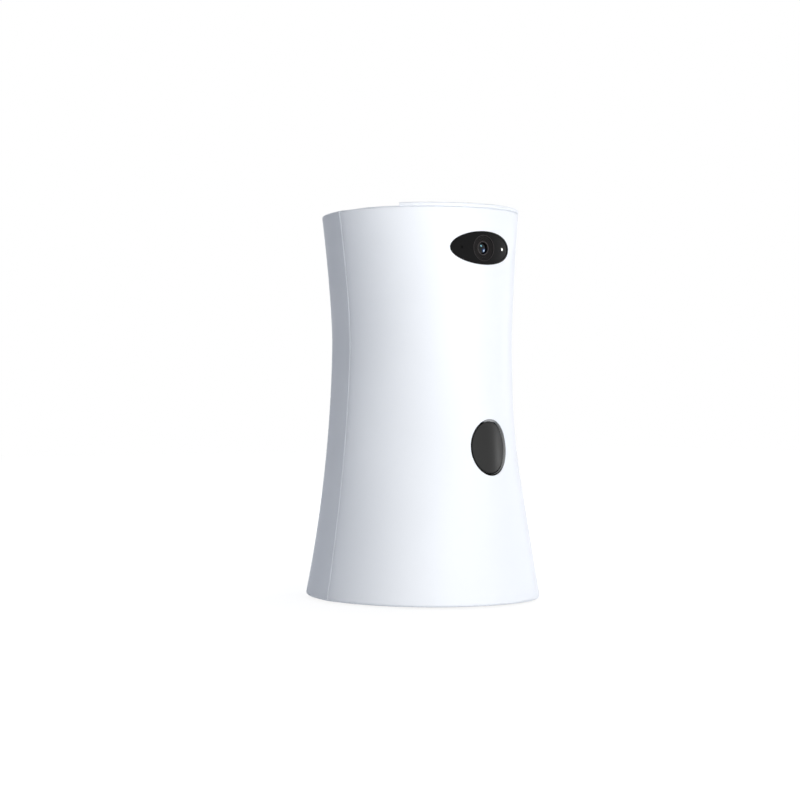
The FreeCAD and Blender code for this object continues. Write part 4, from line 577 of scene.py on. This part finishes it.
# The bright slope, painted light grey as a highlight, runs from the lip to its inner edge, and both move at
# the bottom and at the top.
SLOPE_START, SHOULDER_SHIFT, BOTTOM_SHIFT = -0.14, -0.14, -0.8
SLOPE_EDGE, BOTTOM_EDGE_SHIFT, TOP_EDGE_SHIFT = -0.5, -0.5, -0.6
SLOPE_DEPTH, BOTTOM_DEPTH_SHIFT, TOP_DEPTH_SHIFT = 1.9, -0.9, -0.6
BOTTOM_BLEND, TOP_BLEND = (0.55, 0.95), (0.9, 0.98)
SLOPE_LAND, SLOPE_STEP = 0.06, 0.4
TRIM_SHEET, TRIM_SKIN, TRIM_EDGE_BACK, TRIM_START_SHIFT = 0.15, 0.03, (0.1, 0.05), 0.02
BEZEL_BACK, FLANGE_FRONT, FLANGE_BACK = 2.4, 7.1, 9.1
STOP_GROW, STOP_FRONT, STOP_BACK, STOP_ROOT = -2.2, 2.8, 4.2, -0.04
STOP_SPAN, STOP_STEPS = (169, 371), 60


def eased(value, start, end):
    share = min(max((value - start) / (end - start), 0.0), 1.0)
    return share * share * (3 - 2 * share)


def trim_line(angle):
    """Start and end of the bright slope as (grow, inset), where the grey sheet of painted highlight lies:
    wide at the top, none at the bottom.
    """
    height = math.sin(angle)
    low, top = eased(-height, *BOTTOM_BLEND), eased(height, *TOP_BLEND)
    shoulder = math.sin(2 * angle) ** 2 if height > 0 else 0.0
    start = SLOPE_START + SHOULDER_SHIFT * shoulder + BOTTOM_SHIFT * low
    edge = SLOPE_EDGE + BOTTOM_EDGE_SHIFT * low + TOP_EDGE_SHIFT * top
    depth = SLOPE_DEPTH + BOTTOM_DEPTH_SHIFT * low + TOP_DEPTH_SHIFT * top
    return (start, LIP_INSET), (edge, depth)


def outlet_line(angles, profiles, row):
    """One line of points round the outlet, each at (grow, inset) or at (grow, None, distance along)."""
    points = []
    for angle, profile in zip(angles, profiles):
        grow, inset, *along = profile[row]
        u, v = OUTLET.oval(angle, grow)
        points.append(OUTLET.at(u, v, *along) if along else OUTLET.on_surface(u, v, inset))
    return points


def add_ring(grid, profile_at):
    """A closed ring in the outlet, with a closed profile at every angle."""
    profiles = [profile_at(angle) for angle in ANGLES]
    first, last = grid.rings([outlet_line(ANGLES, profiles, row) for row in range(len(profiles[0]))])
    grid.bridge(last, first)


def bezel_profile(angle):
    """A lip flush with the shell, a slope inside it, and a tube that ends in a flange on the collar."""
    start, (edge, depth) = trim_line(angle)
    lip = [(-FIT, REBATE_INSET + FIT), (-FIT, LIP_INSET + LIP_ROUND), (-FIT - LIP_ROUND, LIP_INSET), start,
           (edge, depth), (edge, depth + SLOPE_LAND), (SLOPE_EDGE, depth + SLOPE_STEP),
           (SLOPE_EDGE, BEZEL_BACK)]
    tube = [(-FIT, BEZEL_BACK), (-FIT, None, FLANGE_BACK), (COLLAR_GROW, None, FLANGE_BACK),
            (COLLAR_GROW, None, FLANGE_FRONT), (REBATE_GROW - FIT, None, FLANGE_FRONT),
            (REBATE_GROW - FIT, REBATE_INSET + FIT)]
    return lip + tube


def trim_profile(angle):
    """A thin light grey sheet laid on the bezel's slope: a painted highlight where the slope catches the
    light.
    """
    (start, inset), (edge, depth) = trim_line(angle)
    outwards, inwards = TRIM_EDGE_BACK
    return [(start, inset - TRIM_SKIN), (edge - TRIM_SKIN, depth - TRIM_SKIN),
            (edge - TRIM_SKIN, depth + TRIM_SKIN), (edge + outwards, depth + inwards),
            (start + TRIM_START_SHIFT, inset + TRIM_SHEET)]


def add_stop(grid):
    """The ledge behind the lower half of the flap, which stops it when it shuts."""
    angles = [math.radians(angle) for angle in spread(*STOP_SPAN, STOP_STEPS)]
    profile = [(STOP_ROOT, STOP_FRONT), (STOP_GROW, STOP_FRONT), (STOP_GROW, STOP_BACK),
               (STOP_ROOT, STOP_BACK)]
    lines = [grid.line(outlet_line(angles, [profile] * len(angles), row)) for row in range(len(profile))]
    for first, second in zip(lines, lines[1:] + lines[:1]):
        grid.bridge(first, second, closed=False)
    grid.faces += [tuple(line[end] for line in lines) for end in (0, -1)]


bezel = Grid()
add_ring(bezel, bezel_profile)
add_stop(bezel)
bezel.piece("bezel", black_abs, "tower", "outlet_dark", ["outlet_bezel"])
# The grey sheet on the slope is a painted highlight on the black bezel, absent where the slope lies in
# shade.
trim = Grid()
add_ring(trim, trim_profile)
trim.piece("bezel_painted_highlight", painted_highlight_abs, "tower", "outlet_dark")

FLAP_GROW, FLAP_INSET, FLAP_BACK, FLAP_ROUND, FLAP_CROWN = -1.3, 1.05, 2.7, 0.45, 0.25
FLAP_RINGS = 12
HINGE_Y, HINGE_Z = -62.696, 95.698
KNUCKLE_RADIUS, KNUCKLE_SPANS, KNUCKLE_STEPS = 1.7, ((6.5, 8.7), (-8.7, -6.5)), 28
# Half heights of a knuckle's web at the sheet and at the pin, and how far it enters each of them.
WEB_FRONT, WEB_REAR, WEB_IN_SHEET, WEB_IN_KNUCKLE = 1.2, 0.6, 0.8, 0.5


def flap_line(share, grow, inset):
    """An oval on the flap, at a share of the way from its middle to its edge."""
    ovals = [OUTLET.oval(angle, grow) for angle in ANGLES]
    return [OUTLET.on_surface(share * u, share * v, inset) for u, v in ovals]


def add_knuckle(grid, span):
    """A knuckle on the flap's pin, joined to the sheet by a tapering web."""
    turns = [math.radians(turn) for turn in spread(0, 360, KNUCKLE_STEPS)[:-1]]
    ends = [[(x, HINGE_Y + KNUCKLE_RADIUS * math.cos(turn), HINGE_Z + KNUCKLE_RADIUS * math.sin(turn))
             for turn in turns] for x in span]
    first, last = grid.rings(ends)
    grid.cap(first, (span[0], HINGE_Y, HINGE_Z))
    grid.cap(last, (span[1], HINGE_Y, HINGE_Z))
    front = on_form(min(span, key=abs), HINGE_Z, True, FLAP_BACK - WEB_IN_SHEET).y
    rear = HINGE_Y - WEB_IN_KNUCKLE
    corners = [(front, -WEB_FRONT), (front, WEB_FRONT), (rear, WEB_REAR), (rear, -WEB_REAR)]
    first, last = grid.rings([[(x, y, HINGE_Z + up) for y, up in corners] for x in span])
    grid.faces += [tuple(first), tuple(reversed(last))]


def flap():
    """The oval flap: a crowned sheet that follows the tower's form, with two knuckles behind it."""
    grid = Grid()
    shares = spread(0, 1, FLAP_RINGS)[1:]
    rings = [flap_line(share, FLAP_GROW - FLAP_ROUND, FLAP_INSET - FLAP_CROWN * (1 - share * share))
             for share in shares]
    rings += [flap_line(1, FLAP_GROW - inset, FLAP_INSET + rise)
              for inset, rise in reversed(quarter_round(FLAP_ROUND))]
    rings += [flap_line(share, FLAP_GROW, FLAP_BACK) for share in reversed(shares)]
    first, last = grid.rings(rings)
    grid.cap(first, OUTLET.on_surface(0, 0, FLAP_INSET - FLAP_CROWN))
    grid.cap(last, OUTLET.on_surface(0, 0, FLAP_BACK))
    for span in KNUCKLE_SPANS:
        add_knuckle(grid, span)
    return grid


flap().piece("flap_door", charcoal_abs, "flap", "outlet_dark", ["outlet_flap"], SOFT_ANGLE)

# ---- camera lens ---------------------------------------------------------------------------------

# Profiles here are (radius, depth behind the ring's front).
LENS_LEVEL, LENS_FRONT = WINDOW.level, -61.955
TURNED_STEPS, PATH_RADIUS = 96, 1.0
RING_EDGE = [(7.38, 3.9), (7.38, 0.12), (7.3, 0.0), (7.1, 0.0), (7.0, 0.12)]
RING_WALL = [(4.1, 0.8), (3.45, 0.8), (3.4, 2.3), (5.0, 2.3), (5.05, 3.9)]
# The dish between them goes down in steps: a land, a short fall and the foot of the next step.
DISH_START, DISH_END, DISH_PITCH, DISH_FALL = (6.95, 0.3), 4.5, 0.44, 0.05
DISH_STEP = ((0.3, 0.02), (0.34, 0.12), (0.4, 0.12))
OUTER_BEAD = [(7.32, 0.05), (7.3, -0.06), (7.12, -0.06), (7.1, 0.05)]
INNER_BEAD = [(3.95, 0.85), (3.92, 0.62), (3.85, 0.55), (3.55, 0.55), (3.47, 0.62), (3.43, 1.2)]
FINE_RINGS = ((6.2, 0.36), (5.3, 0.46), (4.6, 0.56))
FINE_FOOT, FINE_CREST, FINE_WIDTH, FINE_BEVEL = 0.1, -0.04, 0.12, 0.02
GLASS_RADIUS, GLASS_APEX, GLASS_SAG, GLASS_BACK, GLASS_STEPS = 3.35, 1.0, 0.9, 5.7, 8


def turning_tree():
    """Nodes that sweep a profile round a small circle and lay it on an axis along Y."""
    tree = bpy.data.node_groups.new("turned_round", "GeometryNodeTree")
    kinds = {"Profile": "NodeSocketGeometry", "Steps": "NodeSocketInt", "Path Radius": "NodeSocketFloat",
             "Centre": "NodeSocketVector", "Finish": "NodeSocketMaterial"}
    keys = {name: tree.interface.new_socket(name, in_out="INPUT", socket_type=kind).identifier
            for name, kind in kinds.items()}
    tree.interface.new_socket("Turned", in_out="OUTPUT", socket_type="NodeSocketGeometry")
    given = add(tree, "NodeGroupInput").outputs
    path = add(tree, "GeometryNodeCurvePrimitiveCircle", {"Resolution": given["Steps"],
                                                          "Radius": given["Path Radius"]})
    outline = add(tree, "GeometryNodeMeshToCurve", {"Mesh": given["Profile"]})
    swept = add(tree, "GeometryNodeCurveToMesh", {"Curve": path.outputs["Curve"],
                                                  "Profile Curve": outline.outputs["Curve"]})
    laid = add(tree, "GeometryNodeTransform", {"Geometry": swept.outputs["Mesh"],
                                               "Translation": given["Centre"],
                                               "Rotation": (math.pi / 2, 0, 0)})
    real = add(tree, "GeometryNodeRealizeInstances", {"Geometry": laid.outputs["Geometry"]})
    finished = add(tree, "GeometryNodeSetMaterial", {"Geometry": real.outputs["Geometry"],
                                                     "Material": given["Finish"]})
    add(tree, "NodeGroupOutput", {"Turned": finished.outputs["Geometry"]})
    return tree, keys


turned_round, turning_keys = turning_tree()


def turned(name, material, profile, nodes=(), solid=False):
    """A turned piece on the lens axis: a ring's profile closes on itself, a solid's ends on the axis."""
    if solid:
        profile = [(0, profile[0][1]), *profile, (0, profile[-1][1])]
    last = len(profile) - 1
    edges = [(i, i + 1) for i in range(last)] + ([] if solid else [(last, 0)])
    mesh = bpy.data.meshes.new(name)
    mesh.from_pydata([((radius - PATH_RADIUS) * MM, depth * MM, 0) for radius, depth in profile], edges, [])
    piece = bpy.data.objects.new(name, mesh)
    bpy.context.scene.collection.objects.link(piece)
    turning = piece.modifiers.new("turning", "NODES")
    turning.node_group = turned_round
    turning[turning_keys["Steps"]] = TURNED_STEPS
    turning[turning_keys["Path Radius"]] = PATH_RADIUS * MM
    turning[turning_keys["Centre"]] = (0, LENS_FRONT * MM, LENS_LEVEL * MM)
    turning[turning_keys["Finish"]] = material
    evaluated = piece.evaluated_get(bpy.context.evaluated_depsgraph_get())
    piece.data = bpy.data.meshes.new_from_object(evaluated)
    piece.modifiers.remove(turning)
    settle(piece, "tower", nodes, SOFT_ANGLE)


def ring_profile():
    """The lens ring: an outer edge, a shallow dish with fine steps and a wall at the glass."""
    radius, depth = DISH_START
    dish = [DISH_START]
    while radius > DISH_END:
        dish += [(radius - inwards, depth + fall) for inwards, fall in DISH_STEP]
        radius, depth = radius - DISH_PITCH, depth + DISH_FALL
        dish.append((radius, depth))
    return RING_EDGE + dish + RING_WALL


def fine_ring_profile(radius, depth):
    """A fine raised ring, narrower at its crest."""
    foot, crest, inner = depth + FINE_FOOT, depth + FINE_CREST, radius - FINE_WIDTH
    return [(radius, foot), (radius - FINE_BEVEL, crest), (inner + FINE_BEVEL, crest), (inner, foot)]


def dome_profile():
    """The front lens: a crowned glass with a straight rim and a flat back."""
    crown = [(GLASS_RADIUS * share, GLASS_APEX + GLASS_SAG * share * share)
             for share in spread(0, 1, GLASS_STEPS)[1:]]
    return crown + [(GLASS_RADIUS, GLASS_BACK)]


turned("lens_body", matt_nylon, ring_profile(), nodes=["lens_ring"])
turned("lens_outer_bead", bead_nylon, OUTER_BEAD)
turned("lens_inner_bead", bead_nylon, INNER_BEAD)
for number, (radius, depth) in enumerate(FINE_RINGS, 1):
    turned(f"lens_fine_ring_{number}", fine_ring_nylon, fine_ring_profile(radius, depth))
# The lens glass carries painted reflections of its coating as fixed colour patches.
turned("lens_dome", glass_with_painted_reflections("lens_glass_painted_reflections", LENS_LEVEL), dome_profile(),
       nodes=["lens_glass"], solid=True)

# ---- floor and world, in metres ------------------------------------------------------------------

FLOOR_HALF = 3
# The floor's own glow rises to full white between these distances from the tower's axis; nearer the tower it
# is dimmed, a painted shade round the tower's foot.
GLOW_START, GLOW_END, GLOW_IN_PAINTED_SHADE = 0.06, 0.3, 0.9
ROOM_STRENGTH = 0.06


def shown_straight(tree):
    """1 for rays that show the background itself: from the camera, off gloss and through glass."""
    path = add(tree, "ShaderNodeLightPath")
    gloss = add(tree, "ShaderNodeMath", {0: path.outputs["Is Camera Ray"], 1: path.outputs["Is Glossy Ray"]},
                operation="MAXIMUM")
    return add(tree, "ShaderNodeMath", {0: gloss.outputs["Value"], 1: path.outputs["Is Transmission Ray"]},
               operation="MAXIMUM").outputs["Value"]


def studio_floor():
    """Pale card for the object's light; seen straight it glows white, keeps the soft shadow that the tower
    casts, and has a painted shade where its glow dims near the tower.
    """
    material, tree, output = new_material("pale_card")
    matt = add(tree, "ShaderNodeBsdfDiffuse", {"Color": linear("e8eaee")})
    shaded = add(tree, "ShaderNodeBsdfDiffuse", {"Color": linear("6a6b6d")})
    place = add(tree, "ShaderNodeTexCoord").outputs["Object"]
    away = add(tree, "ShaderNodeVectorMath", {0: place}, operation="LENGTH")
    # The glow dims towards the tower: painted shade round its foot, added to the cast shadow.
    strength = add(tree, "ShaderNodeMapRange", {"Value": away.outputs["Value"], "From Min": GLOW_START,
                                                "From Max": GLOW_END, "To Min": GLOW_IN_PAINTED_SHADE, "To Max": 1.0})
    glow = add(tree, "ShaderNodeEmission", {"Color": linear("ffffff"),
                                            "Strength": strength.outputs["Result"]})
    bright = add(tree, "ShaderNodeAddShader", {0: shaded.outputs["BSDF"], 1: glow.outputs["Emission"]})
    seen = add(tree, "ShaderNodeMixShader", {0: shown_straight(tree), 1: matt.outputs["BSDF"],
                                             2: bright.outputs["Shader"]})
    tree.links.new(seen.outputs["Shader"], output.inputs["Surface"])
    mesh = bpy.data.meshes.new("floor")
    corners = [(-1, -1), (1, -1), (1, 1), (-1, 1)]
    mesh.from_pydata([(x * FLOOR_HALF, y * FLOOR_HALF, 0) for x, y in corners], [], [(0, 1, 2, 3)])
    mesh.materials.append(material)
    floor = bpy.data.objects.new("floor", mesh)
    bpy.context.scene.collection.objects.link(floor)


def studio_world():
    """A nearly dark room for the object's light; seen straight it is white."""
    world = bpy.data.worlds.new("studio")
    bpy.context.scene.world = world
    world.use_nodes = True
    tree = world.node_tree
    tree.nodes.clear()
    room = add(tree, "ShaderNodeBackground", {"Color": linear("cfdcf0"), "Strength": ROOM_STRENGTH})
    sky = add(tree, "ShaderNodeBackground", {"Color": linear("ffffff"), "Strength": 1.0})
    both = add(tree, "ShaderNodeMixShader", {0: shown_straight(tree), 1: room.outputs["Background"],
                                             2: sky.outputs["Background"]})
    add(tree, "ShaderNodeOutputWorld", {"Surface": both.outputs["Shader"]})


studio_floor()
studio_world()

# ---- lamps and camera, in metres and degrees -----------------------------------------------------

LAMP_AWAY, TOP_LAMP_AWAY, LAMP_AIM = 1.3, 0.25, 0.11


def lamp(name, turn, rise, width, height, power, code="ffffff", away=LAMP_AWAY, gloss_only=False):
    """A softbox at an angle round the tower, 0 in front and positive towards +X.

    It is aimed at the tower's middle, and lights the object or, with gloss_only, shows in it.
    """
    data = bpy.data.lights.new(name, "AREA")
    data.shape = "RECTANGLE"
    data.size, data.size_y = width, height
    data.energy = power
    data.color = linear(code)[:3]
    light = bpy.data.objects.new(name, data)
    turn = math.radians(turn)
    light.location = (away * math.sin(turn), -away * math.cos(turn), rise)
    light.rotation_euler = (Vector((0, 0, LAMP_AIM)) - light.location).to_track_quat("-Z", "Y").to_euler()
    light.visible_diffuse, light.visible_glossy = not gloss_only, gloss_only
    bpy.context.scene.collection.objects.link(light)


# Name, turn, rise, width, height, power and colour.
lamp("key", -19, 0.35, 1.1, 1.1, 20.8, "fffefa")
lamp("fill", 95, 0.35, 0.45, 0.9, 9.5)
lamp("back", 150, 0.6, 0.9, 0.9, 9, "eaf2ff")
lamp("top", 180, 1.5, 1.2, 1.2, 4.0, "dfeaff", away=TOP_LAMP_AWAY)
lamp("strip", 60, 0.13, 0.35, 0.16, 0.8, gloss_only=True)

VIEW_TURN, VIEW_DISTANCE, VIEW_HEIGHT = -37, 1.157, 0.11163
FOCAL_LENGTH, SENSOR_WIDTH, CLIP_END = 89.03, 36, 20
# The frame's width and the camera's shift, in pixels.
FRAME_WIDTH, SHIFT_ACROSS, SHIFT_UP = 800, -17.25, 6.1

camera_data = bpy.data.cameras.new("camera")
camera_data.sensor_width = SENSOR_WIDTH
camera_data.lens = FOCAL_LENGTH
camera_data.shift_x = SHIFT_ACROSS / FRAME_WIDTH
camera_data.shift_y = SHIFT_UP / FRAME_WIDTH
camera_data.clip_end = CLIP_END
camera = bpy.data.objects.new("camera", camera_data)
view_turn = math.radians(VIEW_TURN)
towards_camera = Vector((math.sin(view_turn), -math.cos(view_turn), 0))
camera.location = towards_camera * VIEW_DISTANCE + Vector((0, 0, VIEW_HEIGHT))
camera.rotation_euler = (-towards_camera).to_track_quat("-Z", "Y").to_euler()
bpy.context.scene.collection.objects.link(camera)
bpy.context.scene.camera = camera

bpy.context.scene.view_settings.view_transform = "Standard"
